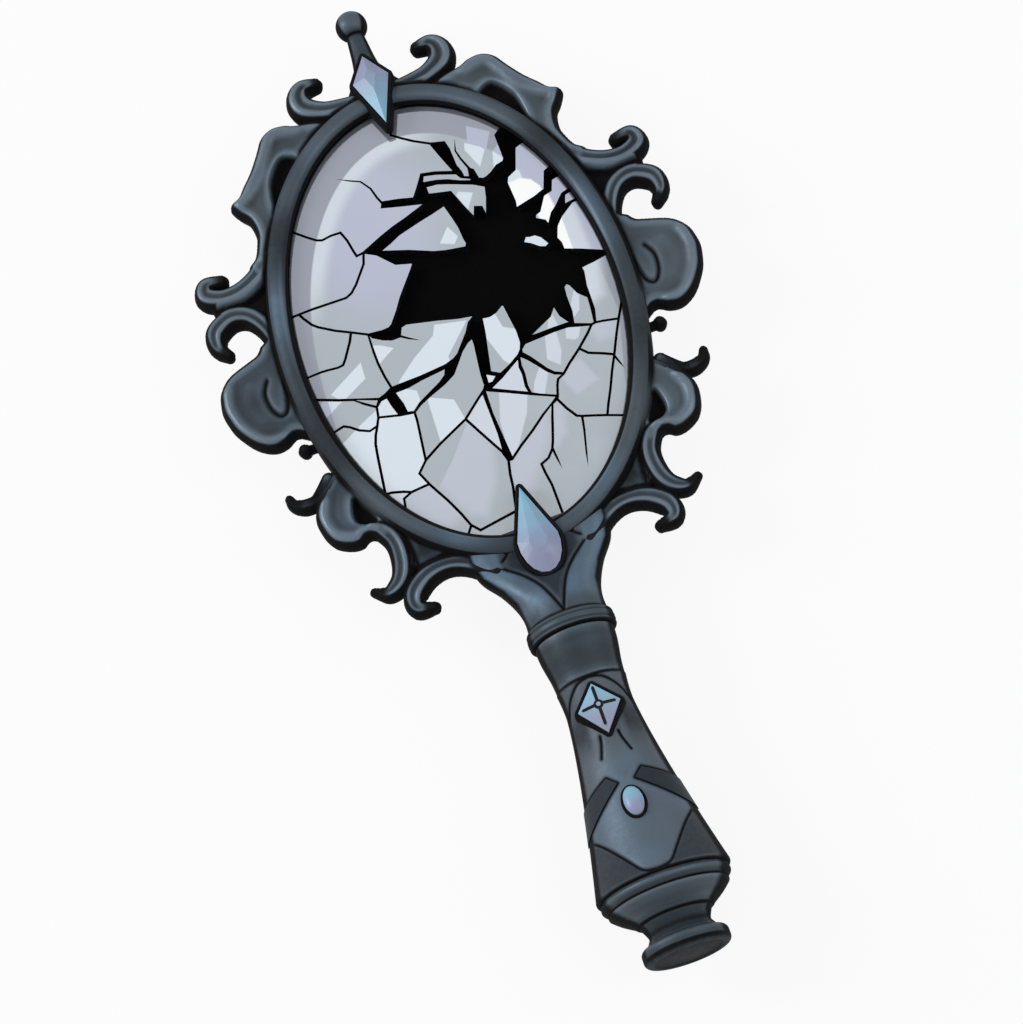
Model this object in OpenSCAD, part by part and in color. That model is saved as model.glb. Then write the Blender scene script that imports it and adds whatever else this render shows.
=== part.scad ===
// Broken hand mirror: a cast metal frame with scrolls, leaves and lobes round an
// oval of bevelled mirror glass that has cracked through and lost part of its middle.
// It lies on its back: the face is +Z, the finial points to +Y and the handle to -Y.
// The origin is on the flat of the back cover, under the middle of the oval.

/* [Looking glass] */
// Width of the glass that shows
glass_w = 84; // [76:1:102]
// Height of the glass that shows
glass_h = 128; // [116:1:154]
// Thickness of the glass
glass_t = 3; // [2.4:0.1:3.6]
// How far the glass runs in under the frame's lip
glass_lap = 2.2; // [1.6:0.1:2.4]
// Width of the bevel that shows at each side of the glass
bevel_w = 5.7; // [3:0.1:8]
// Depth that the bevel loses at the edge of the glass
bevel_drop = 0.8; // [0.3:0.1:1.2]
// Width of a closed crack
crack_gap = 0.7; // [0.4:0.05:0.9]

/* [Frame casting] */
// Width of the ring round the glass
ring_w = 6; // [5:0.5:9]
// Height of the ring's crest above the face of the glass
crest = 3.5; // [2.5:0.1:5]
// Depth of the casting below the face of the glass
casting_depth = 7; // [6.5:0.1:9]
// Play round the glass in its rebate
rebate_play = 0.6; // [0.3:0.1:0.8]
// Distance from the ring's outer edge to the joint between frame and handle
shoulder_len = 20; // [16:0.5:26]
// Height of the finial above the ring's outer edge
finial_len = 27.7; // [22:0.5:34]
// Radius of the ball on the finial
finial_r = 4.4; // [3.5:0.1:5.5]

/* [Back] */
// Thickness of the board behind the glass
board_t = 1.5; // [1:0.1:2.5]
// Wall of the dished back cover
cover_wall = 1.2; // [0.8:0.1:2]
// Thickness of the cover's flange
flange_t = 1.5; // [1.2:0.1:2.5]
// Diameter of the four screws in the back cover
screw_d = 1.6; // [1.2:0.1:1.8]

/* [Handle] */
// Diameter of the rod that holds the handle together
tang_d = 6; // [4:0.5:8]
// Radius of the collar bead under the frame
collar_r = 11.5; // [10:0.1:14]
// Length of the collar bead
collar_len = 4; // [3:0.5:6]
// Radius of the neck sleeve at its top
sleeve_r = 10.3; // [9:0.1:12.5]
// Length of the neck sleeve
sleeve_len = 13; // [10:0.5:18]
// Radius of the grip at its waist
waist_r = 8.6; // [7.2:0.1:10.4]
// Radius of the grip at its swelling, on which the handle rests
swell_r = 17; // [14:0.5:21]
// Length of the grip
grip_len = 53.5; // [44:0.5:66]
// Length of the band under the grip
band_len = 3; // [2:0.5:5]
// Length of the tapered foot under the band
foot_len = 5; // [4:0.5:8]
// Least radius of the pommel's neck
pommel_neck_r = 7.8; // [6:0.1:9]
// Length of the pommel's neck
pommel_neck_len = 5.5; // [4.5:0.5:8]
// Radius of the pommel cap
cap_r = 11; // [9.5:0.1:14]
// Thickness of the pommel cap
cap_len = 4; // [3.5:0.1:6]

/* [Stones and inlays] */
// Height of a stone's facets above its setting
stone_rise = 1.7; // [0.8:0.1:2.5]
// Width of the rim of a setting round its stone
rim = 1.3; // [0.8:0.1:1.8]
// Play between a stone or an inlay and its pocket
stone_play = 0.05; // [0.02:0.01:0.15]
// Depth of the pocket that an inlay lies in
inlay_depth = 1; // [0.6:0.1:1.5]
// How far an inlay stands proud of the grip
inlay_proud = 0.25; // [0:0.05:0.5]

/* [Hidden] */
slate = "#4a525c";
dark_slate = "#31373f";
silver_glass = "#b4bac8";
blue_stone = "#8cb4cc";

// Heights: the handle rests on its swelling, and the casting lies on the handle's axis
axis_z = swell_r;
face_z = axis_z + 2;
glass_z = face_z - glass_t;
lip_z = face_z + 0.2;
crest_z = face_z + crest;
base_z = face_z - casting_depth;
board_z = glass_z - board_t;

// Half axes of the ovals
open_a = glass_w / 2;
open_b = glass_h / 2;
glass_a = open_a + glass_lap;
glass_b = open_b + glass_lap;
rebate_a = glass_a + rebate_play;
rebate_b = glass_b + rebate_play;
outer_a = open_a + ring_w;
outer_b = open_b + ring_w;

// Places along the handle, each one lower than the last
handle_y = -outer_b - shoulder_len;
sleeve_y = handle_y - collar_len;
grip_y = sleeve_y - sleeve_len;
band_y = grip_y - grip_len;
foot_y = band_y - band_len;
pommel_y = foot_y - foot_len;
cap_y = pommel_y - pommel_neck_len;

foot_r = swell_r - 1.7;
foot_tip_r = pommel_neck_r + 1.7;
socket_r = collar_r - 1;
tang_hold = 8;
tang_play = 0.1;
edge = 0.6;

// Handle pieces hang on the axis, with their own Z running down the handle
module on_axis(y) translate([0, y, axis_z]) rotate([90, 0, 0]) children();
module both_sides() { children(); mirror([1, 0, 0]) children(); }
module oval(a, b, sides = 96) scale([a, b]) circle(1, $fn = sides);

// A smooth curve through points, whose third number, the half width, is carried along
function curve(p, steps) = concat([for (i = [0 : len(p) - 2], k = [0 : steps - 1])
    let (t = k / steps, a = p[max(i - 1, 0)], b = p[i], c = p[i + 1], d = p[min(i + 2, len(p) - 1)])
    (2 * b + (c - a) * t + (2 * a - 5 * b + 4 * c - d) * t * t
        + (3 * b - a - 3 * c + d) * t * t * t) / 2], [p[len(p) - 1]]);

// The ornament is drawn for a ring whose middle line has these half axes, and each
// of its points moves straight out or in with the real ring
drawn_a = 45;
drawn_b = 67;
function on_ring(p) = let (t = atan2(p.y / drawn_b, p.x / drawn_a),
    grow_a = open_a + ring_w / 2 - drawn_a, grow_b = open_b + ring_w / 2 - drawn_b)
    len(p) == 2 ? [p.x + grow_a * cos(t), p.y + grow_b * sin(t)]
                : [p.x + grow_a * cos(t), p.y + grow_b * sin(t), p.z];

// ---- The frame casting ----

scroll_sides = 6;
// Side quads of a skin of n rings with m points each, and its two ends
function skin(n, m) = concat(
    [[for (k = [m - 1 : -1 : 0]) k]],
    [for (i = [0 : n - 2], k = [0 : m - 1]) [i * m + k, (i + 1) * m + (k + 1) % m, (i + 1) * m + k]],
    [for (i = [0 : n - 2], k = [0 : m - 1]) [i * m + k, i * m + (k + 1) % m, (i + 1) * m + (k + 1) % m]],
    [[for (k = [0 : m - 1]) (n - 1) * m + k]]);

// A scroll is a round-backed bar of changing width, bent along its curve
module scroll(points, rise = 4.2) {
    q = curve([for (p = points) on_ring(p)], 2);
    n = len(q);
    rings = [for (i = [0 : n - 1])
        let (d = q[min(i + 1, n - 1)] - q[max(i - 1, 0)], u = [-d.y, d.x] / norm([d.x, d.y]))
        for (k = [0 : scroll_sides - 1]) let (t = -360 * (k + 0.5) / scroll_sides)
        [q[i].x + u.x * q[i].z * cos(t), q[i].y + u.y * q[i].z * cos(t),
         axis_z + min(rise, 1.35 * q[i].z) * sin(t)]];
    polyhedron(rings, skin(n, scroll_sides));
    hull() for (p = [q[n - 2], q[n - 1]])
        translate([p.x, p.y, axis_z]) scale([1, 1, 1.2]) sphere(p.z * 0.85, $fn = 6);
}

// A flat leaf with an eased edge on its face
module leaf(outline, low, high) {
    shape = [for (p = outline) on_ring(p)];
    translate([0, 0, axis_z + low]) {
        linear_extrude(high - low - edge) polygon(shape);
        linear_extrude(high - low) offset(delta = -edge) polygon(shape);
    }
}
module pocket(outline, floor_h)
    translate([0, 0, axis_z + floor_h]) linear_extrude(20) polygon([for (p = outline) on_ring(p)]);

// The ring's section, out from the edge of the glass that shows: a round crest, a wall
// and, inside the wall, the rebate that takes the glass and the board
wall_in = glass_lap + rebate_play;
ring_section = [[0, lip_z], [0, lip_z + 1.1], [1, crest_z - 0.6], [2.2, crest_z],
    [ring_w - 2, crest_z - 0.5], [ring_w - 0.6, face_z + 0.4],
    [ring_w, base_z], [wall_in, base_z], [wall_in, lip_z]];
ring_stations = 60;
module ring() {
    m = len(ring_section);
    points = [for (i = [0 : ring_stations - 1], s = ring_section) let (t = 360 * i / ring_stations)
        [(open_a + s.x) * cos(t), (open_b + s.x) * sin(t), s.y]];
    quads = [for (i = [0 : ring_stations - 1], k = [0 : m - 1])
        let (j = (i + 1) % ring_stations, l = (k + 1) % m)
        [i * m + k, i * m + l, j * m + l, j * m + k]];
    polyhedron(points, [for (q = quads) each [[q[0], q[2], q[1]], [q[0], q[3], q[2]]]]);
}

top_scroll = [[6, 68.7, 3.6], [10, 69.3, 3.4], [15, 70.3, 3.5], [19.4, 73, 3.9], [20.2, 76.6, 3.6],
    [18.2, 79.4, 2.8], [14.6, 79.6, 2]];
side_scroll_up = [[42, 33.5, 3.4], [46, 30, 3.2], [51, 27.6, 3.2], [56, 27.3, 3.2], [60.1, 29.4, 3.3],
    [59.4, 32.8, 2.6], [55.3, 32.8, 2]];
side_scroll_down = [[46.3, 9, 2.4], [48.3, 15.5, 2.7], [51.5, 19.9, 2.9], [56, 21.1, 3.1],
    [60.6, 18.6, 3.2], [61.4, 14.5, 2.5], [59.5, 11.7, 1.7]];
small_hook = [[45, -31.5, 2.2], [49.3, -35.6, 2], [52.6, -36.2, 2.1], [55.3, -34.9, 1.8], [56.2, -32.6, 1.2]];
low_scroll_out = [[37.5, -47.5, 3], [34.2, -53.5, 2.9], [34, -59.5, 3], [35.8, -64.2, 2.9],
    [39.6, -66.4, 2.3], [43.1, -64.6, 1.3]];
low_scroll_in = [[12, -71.5, 3], [18.5, -66.4, 2.8], [24, -64.7, 2.7], [29.5, -65.8, 3],
    [33.7, -69.3, 3.1], [33.9, -72.9, 2.6], [30, -73.8, 1.6]];

upper_leaf = [[16, 64.5], [23.5, 69.6], [26, 70.7], [30, 71], [33.5, 69], [36, 65], [39, 60.5], [42, 57],
    [44, 54.5], [46.3, 53.3], [47, 51.5], [45.5, 48.7], [43.5, 46], [42.8, 42], [43.5, 39], [45, 35.5],
    [47.5, 32.5], [43, 26], [35, 33], [28, 46], [18, 58]];
upper_leaf_pocket = [[26, 59.5], [30, 61], [34, 55.8], [35.1, 52], [35.5, 48], [36, 45.5], [32.5, 51.5],
    [30, 53.5], [26.5, 57]];
side_web = [[38, 32], [49, 29], [57, 28.4], [60, 25], [57.5, 20.4], [51.2, 19.6], [47.6, 7], [41, 8]];
ear = [[41, 14], [50, 11.5], [52.5, 9], [55, 8], [60, 6.2], [62.7, 4.4], [64.8, 1.6], [65.5, -1],
    [66, -4], [65.5, -7], [64, -11], [61, -15.5], [58, -18], [55, -19], [52, -18.5], [50, -17.3],
    [48.5, -17.2], [41, -19]];
ear_loop = [[50, 0, 1], [52.6, -2.5, 1.1], [52.9, -6.5, 1.2], [51, -9.8, 1.2], [48.9, -8, 1.1], [47.9, -4, 1]];
low_lobe = [[38, -29], [47, -33], [50.5, -38], [51.5, -41], [51.3, -44], [50.3, -47.5], [48.5, -50],
    [45, -51.8], [42, -52], [39.5, -50.8], [35, -53], [25, -49]];
low_lobe_pocket = [[40.5, -39], [41.8, -43], [41, -46], [36.5, -47.2], [39, -41.5]];
low_web = [[39, -43], [36.3, -50], [32.5, -56], [33, -62.5], [28, -63.5], [22, -62.8], [16, -66],
    [10, -71], [-1, -73], [-1, -60], [16, -56], [30, -42]];
bead_at = [48.4, -21.4];
bead_r = 1.9;

// The finial: a foot on the ring, a tapering neck and a ball
module finial() {
    ball_y = outer_b + finial_len - finial_r;
    hull() {
        translate([0, outer_b - 2, axis_z]) cube([16.6, 11, 7.6], center = true);
        translate([0, outer_b + 5, axis_z]) cube([11, 2, 7.8], center = true);
    }
    hull() {
        translate([0, outer_b + 5, axis_z]) cube([11, 2, 7.8], center = true);
        translate([0, outer_b + 10, axis_z]) rotate([90, 0, 0]) cylinder(r = 4.4, h = 1, $fn = 16);
    }
    translate([0, outer_b + 9.5, axis_z]) rotate([-90, 0, 0])
        cylinder(r1 = 4.4, r2 = 3, h = ball_y - outer_b - 9.5, $fn = 16);
    translate([0, ball_y, axis_z]) sphere(finial_r, $fn = 16);
}

// The shoulder: from the breadth of the ring's foot to the round socket of the tang
module shoulder() {
    half = (shoulder_len - 4) / 2;
    hull() {
        translate([0, -outer_b + 4, axis_z]) cube([38, 8, 8.4], center = true);
        translate([0, -outer_b - half, axis_z]) cube([28, 1, 9.5], center = true);
    }
    hull() {
        translate([0, -outer_b - half, axis_z]) cube([28, 1, 9.5], center = true);
        on_axis(handle_y + 4) cylinder(r = socket_r, h = 0.5, $fn = 28);
    }
    on_axis(handle_y + 4) cylinder(r = socket_r, h = 4, $fn = 28);
}

// How deep in the ring's wall the ornament starts
root = 0.6;

// Four screws draw the cover up against the ring's wall
screw_turns = [32, 148, 212, 328];
screw_line = (wall_in + ring_w) / 2;
module at_screws() for (t = screw_turns)
    translate([(open_a + screw_line) * cos(t), (open_b + screw_line) * sin(t), 0]) children();
screw_hold = 5;
head_len = 0.6;

crown_y = outer_b + 2;
crown_stone = [[0, 7.5], [5, 0], [0, -14], [-5, 0]];
drop_y = -outer_b + 1;
drop_tip = 15.5;
drop_r = 5.3;
drop_low = 4.2;

module crown_outline(grow = 0) translate([0, crown_y]) offset(delta = grow) polygon(crown_stone);
module drop_outline(grow = 0) translate([0, drop_y]) offset(delta = grow) polygon(concat([[0, drop_tip]],
    [for (t = [10 : -20 : -190]) [drop_r * cos(t), (t < 0 ? drop_low * 2 : drop_r) * sin(t)]]));
setting_z = face_z + 0.9;
setting_top = crest_z + 1;
module frame() color(slate) difference() {
    union() {
        ring();
        difference() {
            union() {
                finial();
                shoulder();
                both_sides() {
                    for (s = [top_scroll, side_scroll_up, side_scroll_down, low_scroll_out, low_scroll_in])
                        scroll(s);
                    scroll(small_hook, 2.8);
                    translate([on_ring(bead_at).x, on_ring(bead_at).y, axis_z]) sphere(bead_r, $fn = 8);
                    translate([on_ring(bead_at).x - 4, on_ring(bead_at).y, axis_z])
                        rotate([0, 90, 0]) cylinder(r = 1.1, h = 4, $fn = 6);
                    difference() {
                        leaf(upper_leaf, -3.4, 3.6);
                        pocket(upper_leaf_pocket, 0);
                    }
                    difference() {
                        leaf(low_lobe, -3.3, 3.4);
                        pocket(low_lobe_pocket, 0);
                    }
                    leaf(side_web, -2.9, 0.5);
                    leaf(ear, -3.6, 2.8);
                    translate([0, 0, 1.87]) scroll(ear_loop);
                    leaf(low_web, -3.7, 2.5);
                }
            }
            linear_extrude(2 * crest_z) oval(rebate_a + root, rebate_b + root, 48);
        }
        translate([0, 0, setting_z]) linear_extrude(setting_top - setting_z) {
            crown_outline(rim);
            drop_outline(rim);
        }
    }
    translate([0, 0, crest_z]) linear_extrude(5) {
        crown_outline(stone_play);
        drop_outline(stone_play);
    }
    on_axis(handle_y + tang_hold) cylinder(d = tang_d + 2 * tang_play, h = tang_hold + 1, $fn = 24);
    translate([0, 0, base_z - 1]) at_screws()
        cylinder(d = screw_d + 2 * tang_play, h = screw_hold + 1.2, $fn = 12);
}

// ---- Stones ----

// A faceted stone: an upright girdle, then facets that rise to a smaller table
module stone(girdle) {
    hull() {
        linear_extrude(girdle) children(0);
        linear_extrude(girdle + stone_rise) children(1);
    }
}
module crown_gem() color(blue_stone) translate([0, 0, crest_z]) stone(setting_top - crest_z) {
    crown_outline();
    translate([0, crown_y]) polygon(crown_stone * 0.3);
}
module drop_gem() color(blue_stone) translate([0, 0, crest_z]) stone(setting_top - crest_z) {
    drop_outline();
    translate([0, drop_y]) circle(drop_r * 0.45, $fn = 10);
}

// ---- The glass ----

// The crack pattern is drawn on a glass of this size and stretches with the real one
drawn_glass = [84, 128];
function on_glass(p) = [p.x * glass_w / drawn_glass.x, p.y * glass_h / drawn_glass.y];

// Each shard: its name, its lean about X and Y in degrees, and its outline along the
// middle of its cracks. An outline that meets the frame runs on past the glass's edge.
shards = [
["shard_upper_left", 0.10, -0.12, [[0.8, 70], [-50, 70], [-50, 47], [-36, 42], [-30.1, 36.1], [-28, 34.2],
    [-26.5, 33.6], [-24, 34], [-21.3, 33.9], [-20.3, 31], [-19.7, 27.5], [-19.3, 25.7], [-17.3, 26],
    [-12, 28.4], [-8, 30], [-4, 31.2], [0, 32.6], [2.2, 33.6], [-4, 35.4], [-8.7, 36.8], [-8.1, 38.1],
    [-4, 37.2], [0, 36], [1.7, 38.4], [4, 42], [7.5, 41.2], [12.6, 39.3], [11.3, 43], [10.3, 46],
    [9.1, 49.8], [5, 52.3], [2, 54.6], [0, 56.4]]],
["shard_upper_right", -0.25, 0.22, [[0.8, 70], [0, 56.4], [2, 54.6], [5, 52.3], [9.1, 49.8], [12.6, 48.8],
    [13.1, 46.5], [13.3, 41], [14, 38.8], [14.2, 36.9], [15.9, 36.2], [16.3, 38.8], [17.2, 38], [17.7, 35],
    [19, 34.4], [20, 34.6], [21.5, 35.3], [23.5, 36.8], [25.6, 37.3], [26.1, 38.2], [26.1, 45.8],
    [31, 50], [36, 62]]],
["shard_left_high", -0.14, 0.16, [[-50, 47], [-36, 42], [-30.1, 36.1], [-28, 34.2], [-26.5, 33.6],
    [-24, 34], [-21.3, 33.9], [-20.3, 31], [-19.7, 27.5], [-19.3, 25.7], [-17.3, 26], [-18.3, 22.8],
    [-20, 20.5], [-22, 17.8], [-23.8, 16], [-25.5, 15.2], [-38.6, 15.5], [-50, 15.6]]],
["shard_left_centre", 0.18, 0.10, [[-38.6, 15.5], [-25.5, 15.2], [-23.8, 16], [-22, 17.8], [-20, 20.5],
    [-18.3, 22.8], [-17.3, 26], [-14.2, 24.2], [-12.3, 22], [-10.3, 19.7], [-5.8, 18.3], [-7, 16.5],
    [-12, 10], [-14, 6.8], [-16.5, 3.4], [-17.5, 2.7], [-19.5, 2.6], [-23.2, 3], [-27.3, 5.3], [-31, 7.3],
    [-35, 10], [-36.3, 11.3], [-37.8, 13.8]]],
["shard_left_rim", 0.12, -0.20, [[-50, 15.6], [-38.6, 15.5], [-37.8, 13.8], [-36.3, 11.3], [-35, 10],
    [-31, 7.3], [-27.3, 5.3], [-28.3, 3], [-29.5, 1], [-31, -1.5], [-32, -2.8], [-33.5, -3], [-38, -2.5],
    [-50, -2.5]]],
["shard_left_middle", -0.12, 0.24, [[-50, -2.5], [-38, -2.5], [-33.5, -3], [-32, -2.8], [-31, -1.5],
    [-29.5, 1], [-28.3, 3], [-27.3, 5.3], [-23.2, 3], [-23.4, -2], [-23.3, -6], [-22.8, -10],
    [-22.1, -13.6], [-24, -14.7], [-26, -15.4], [-32.2, -13.2], [-36, -11.8], [-41, -9.5], [-50, -5.8]]],
["shard_left_low", 0.2, -0.1, [[-50, -5.8], [-41, -9.5], [-36, -11.8], [-32.2, -13.2], [-30, -15.3],
    [-27.3, -17.3], [-27.8, -20.2], [-28.8, -22.4], [-31, -23], [-33.5, -21.8], [-35.5, -20], [-37, -19.1],
    [-41, -19.9], [-50, -21.5]]],
["sliver_left", 0.5, 0.3, [[-32.2, -13.2], [-26, -15.4], [-27.3, -17.3], [-30, -15.3]]],
["shard_left_foot", -0.22, -0.18, [[-50, -21.5], [-41, -19.9], [-37, -19.1], [-35.5, -20], [-33.5, -21.8],
    [-31, -23], [-28.8, -22.4], [-29.9, -24.6], [-30.7, -27], [-31.3, -31], [-32.5, -40.8], [-40, -50],
    [-52, -34]]],
["shard_star_left", 0.4, -0.5, [[-27.3, -17.3], [-25.8, -15.9], [-23.9, -15.6], [-23.3, -18.5],
    [-22.3, -21.7], [-27.8, -20.2]]],
["shard_star_right", -0.3, 0.4, [[-21.9, -15.1], [-18, -15], [-14, -14.2], [-7.1, -13.4], [-8, -15.5],
    [-10, -17], [-13, -18.6], [-16.5, -20.5], [-18.6, -22.3], [-20.5, -21.8], [-20.8, -19], [-21.4, -17]]],
["shard_heart", 0.16, -0.14, [[-23.2, 3], [-22.4, 1.9], [-20, 0.3], [-17.8, -0.6], [-15.7, -0.6], [-14.7, 1.9],
    [-13, 2.3], [-5, 0.3], [0, -1.2], [4.5, -2.1], [2.4, -3.6], [1, -6], [-1, -8.5], [-3, -11],
    [-4.5, -12], [-7.1, -12.8], [-14, -13.4], [-22.1, -13.6], [-22.8, -10], [-23.3, -6], [-23.4, -2]]],
["shard_centre_low", -0.15, 0.2, [[1.9, -7.8], [1.9, -10], [1.3, -15], [0.9, -18.5], [0.8, -21.9], [0.1, -23],
    [-2, -24.7], [-6.9, -29], [-15, -33], [-20, -36], [-19.3, -30], [-18.7, -25], [-18.6, -22.3],
    [-16.5, -20.8], [-13, -19.2], [-9, -17.6], [-6, -15.9], [-4, -13.3], [-2, -10.6], [0, -8.8]]],
["shard_left_column", 0.1, 0.3, [[-27.8, -20.2], [-22.3, -21.7], [-18.6, -22.3], [-18.7, -25], [-19.3, -30],
    [-20, -36], [-22.6, -38.8], [-21.1, -42.5], [-26.1, -42.8], [-28, -41.9], [-30.8, -41], [-32.5, -40.8],
    [-31.3, -31], [-30.7, -27], [-29.9, -24.6], [-28.8, -22.4]]],
["chip_left_rim", 0.5, 0.5, [[-32.5, -40.8], [-30.8, -41], [-28, -41.9], [-26.1, -42.8], [-28.4, -43.7],
    [-28.9, -46.6], [-34, -56], [-44, -50]]],
["shard_low_left", 0.22, -0.16, [[-28.4, -43.7], [-26.1, -42.8], [-21.1, -42.5], [-20, -44.7], [-18, -48.5],
    [-16, -53], [-14.6, -56.8], [-16.2, -59], [-20, -68], [-34, -56], [-28.9, -46.6]]],
["shard_low_centre", -0.12, -0.22, [[-22.6, -38.8], [-20, -36], [-15, -33], [-6.9, -29], [-4.5, -33.9],
    [-2.5, -37.9], [-0.9, -41], [-0.2, -43.8], [-1, -47.5], [-1.4, -51], [-2.7, -57.4], [-8, -58.2],
    [-12.8, -58.9], [-14.6, -56.8], [-16, -53], [-18, -48.5], [-20, -44.7], [-21.1, -42.5]]],
["shard_foot", 0.3, 0.3, [[-14.6, -56.8], [-12.8, -58.9], [-8, -58.2], [-2.7, -57.4], [-2.4, -72],
    [-20, -72], [-16.2, -59]]],
["wedge_left", 0.3, 0.5, [[-6.9, -29], [-2, -24.7], [-0.4, -23.5], [-0.3, -30], [-0.2, -36], [-0.5, -40.3],
    [-0.9, -41], [-2.5, -37.9], [-4.5, -33.9]]],
["wedge_right", -0.25, 0.3, [[0.1, -23], [1.5, -23.8], [6, -26], [11, -28.6], [17.2, -31.6], [15.2, -33.1],
    [12, -35.2], [8, -38.4], [4, -41.2], [0.8, -43.8], [0.4, -38], [-0.1, -30]]],
["chip_centre", 0.6, -0.6, [[1.7, -18.6], [4.6, -20.4], [3, -21.9], [1.5, -21.9]]],
["shard_tooth", 0.25, -0.3, [[5.8, -3.5], [8, -3.8], [9.8, -3.3], [11.8, -1.9], [12.5, -2.2], [12.9, -6],
    [13.4, -10.5], [13.3, -13.9], [12.6, -15.8], [11.5, -17.1], [8.5, -19], [5.5, -20.4], [3.1, -18.9],
    [4.2, -13], [5.2, -8]]],
["shard_arrow", -0.4, 0.3, [[1.5, -23.4], [5.4, -21.4], [8.5, -19.4], [11.3, -17.7], [10.7, -20.5],
    [10.9, -22.5], [10.5, -26], [10.9, -28.3], [6, -25.8]]],
["shard_blade", 0.3, 0.4, [[11.5, -17.1], [13.5, -19.2], [15, -21.2], [17, -24], [18.5, -25.4], [20.7, -26.3],
    [18.8, -27.2], [18.1, -28.7], [17.2, -31.6], [13, -29.6], [11, -28.4], [10.7, -26], [11.1, -22.5],
    [11, -20]]],
["shard_right_centre", -0.2, -0.25, [[12.6, -15.8], [14, -14.5], [18, -14.3], [22, -14.1], [26, -14.2],
    [31.8, -16], [30, -18], [26.6, -21.2], [23, -24.1], [20.7, -26.3], [18.5, -25.2], [17, -23.5],
    [14, -18.8], [12.4, -16.8]]],
["shard_thorn", 0.4, -0.3, [[15.9, -13.1], [17, -12.4], [20, -10.9], [22.5, -9.7], [24.5, -7], [25.2, -10.5],
    [27.1, -13.4], [22, -13.3], [18, -13.4]]],
["shard_fang", -0.3, 0.5, [[28.4, -3.2], [29.5, -2.3], [30.4, -3.2], [31.5, -6], [33.6, -8.2], [33.4, -11],
    [32.8, -15.8], [31.8, -16], [27.4, -14.2], [28.1, -10.5], [28.1, -6]]],
["shard_right_rim", 0.15, -0.35, [[34.5, 0.5], [38, 1], [41.6, 1.8], [50, 3.4], [50, -11], [41.3, -12.3],
    [38.9, -16.8], [35, -16.1], [32.9, -15.8], [33.8, -12], [34, -5], [34.7, -1]]],
["shard_right_low", -0.3, 0.25, [[31.8, -16], [32.9, -15.8], [35, -16.1], [38.9, -16.8], [37, -20.6],
    [34.5, -26], [32, -24.8], [28.4, -23.2], [26.6, -21.2], [30, -18]]],
["shard_right_sliver", 0.2, -0.4, [[41.3, -12.3], [50, -11], [50, -40], [40, -50], [31.4, -42.7],
    [27.3, -41.2], [28.5, -38.5], [30.5, -34.5], [32.5, -30], [34.5, -26], [37, -20.6], [38.9, -16.8]]],
["shard_right_foot", 0.14, 0.18, [[20.7, -26.3], [23, -24.1], [26.6, -21.2], [28.4, -23.2], [32, -24.8],
    [34.5, -26], [32.5, -30], [30.5, -34.5], [28.5, -38.5], [27.3, -41.2], [21.3, -39.2], [20, -38.6],
    [18.2, -35.6], [16.8, -32.4], [17.2, -31.6], [18.1, -28.7], [18.8, -27.2]]],
["shard_low_middle", 0.2, 0.12, [[-0.2, -43.8], [0.8, -43.8], [4, -41.2], [8, -38.4], [12, -35.2],
    [15.2, -33.1], [14, -36.8], [13, -40], [12, -43], [11.2, -44.9], [9.5, -46.9], [7.3, -47.8],
    [7.5, -50.5], [8, -54], [8.1, -72], [-2.4, -72], [-2.7, -57.4], [-1.4, -51], [-1, -47.5]]],
["shard_low_right", -0.14, -0.2, [[15.2, -33.1], [16.8, -32.4], [18.2, -35.6], [20, -38.6], [21.3, -39.2],
    [27.3, -41.2], [31.4, -42.7], [40, -50], [30, -70], [8.1, -72], [8, -54], [7.5, -50.5], [7.3, -47.8],
    [9.5, -46.9], [11.2, -44.9], [12, -43], [13, -40], [14, -36.8]]],
["sliver_top", 0.3, 0.4, [[3.3, 39.4], [4.2, 41.6], [7.5, 40.8], [10.5, 39.7], [12.8, 38.8], [13.6, 37.3],
    [16, 36], [16, 35], [13, 36.1], [10, 37.7], [7, 38.7]]],
["shard_claw", -0.35, 0.35, [[3.8, 38.2], [7, 37.9], [10, 36.8], [16, 34.2], [18.9, 32.3], [18.2, 29],
    [16.4, 24.2], [15.9, 26.8], [14.3, 27.4], [13.2, 24.5], [11.4, 28.8], [9.6, 34.1], [6, 35],
    [3.8, 35.6]]],
["shard_centre_high", 0.14, 0.18, [[-13.2, 24.6], [-10, 26], [-7, 27.5], [-3, 28.6], [0, 29.4], [3, 30.1],
    [6.9, 31.2], [7.9, 27], [8.6, 23.5], [8.8, 20], [9.1, 18.3], [8.5, 17.2], [3, 18.2], [0, 19.1],
    [-6, 21.9]]],
["shard_right_high", -0.3, -0.35, [[29.6, 40.4], [36, 43], [42, 34], [34.9, 30.6], [33.1, 25.4], [30, 24.2],
    [27, 23.5], [24.2, 22.8], [24.6, 25], [24.3, 31], [25, 32.7], [27.5, 33.9], [28.5, 37]]],
["shard_right_tip", 0.35, -0.4, [[35.5, 27.7], [44, 30], [44, 25], [37, 22.6], [34.2, 19.4], [32.7, 18.2],
    [30.7, 15], [30.2, 16.7], [27.9, 18.2], [28.3, 19.4], [29.7, 19.9], [32.1, 23.9], [34.4, 24.6]]],
["chip_right_rim", 0.6, 0.4, [[37.3, 22.3], [44, 24], [44, 20.6], [37.7, 19.5], [36.3, 19.1], [36.7, 20.6]]],
["shard_right_upper_rim", -0.2, -0.3, [[38.4, 19.4], [50, 22], [50, 0.5], [41.3, 3], [38, 4.4], [32, 6.9],
    [32, 9], [31.3, 10.8], [32.5, 14.1], [34.5, 16.4]]],
["chip_in_hole", 0.7, -0.9, [[23.9, 14.5], [25, 14.1], [26.5, 14], [28, 12.7], [29.4, 10], [28, 9.3], [26.5, 9.9],
    [24.5, 11.7], [22.7, 12.8]]]];

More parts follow.
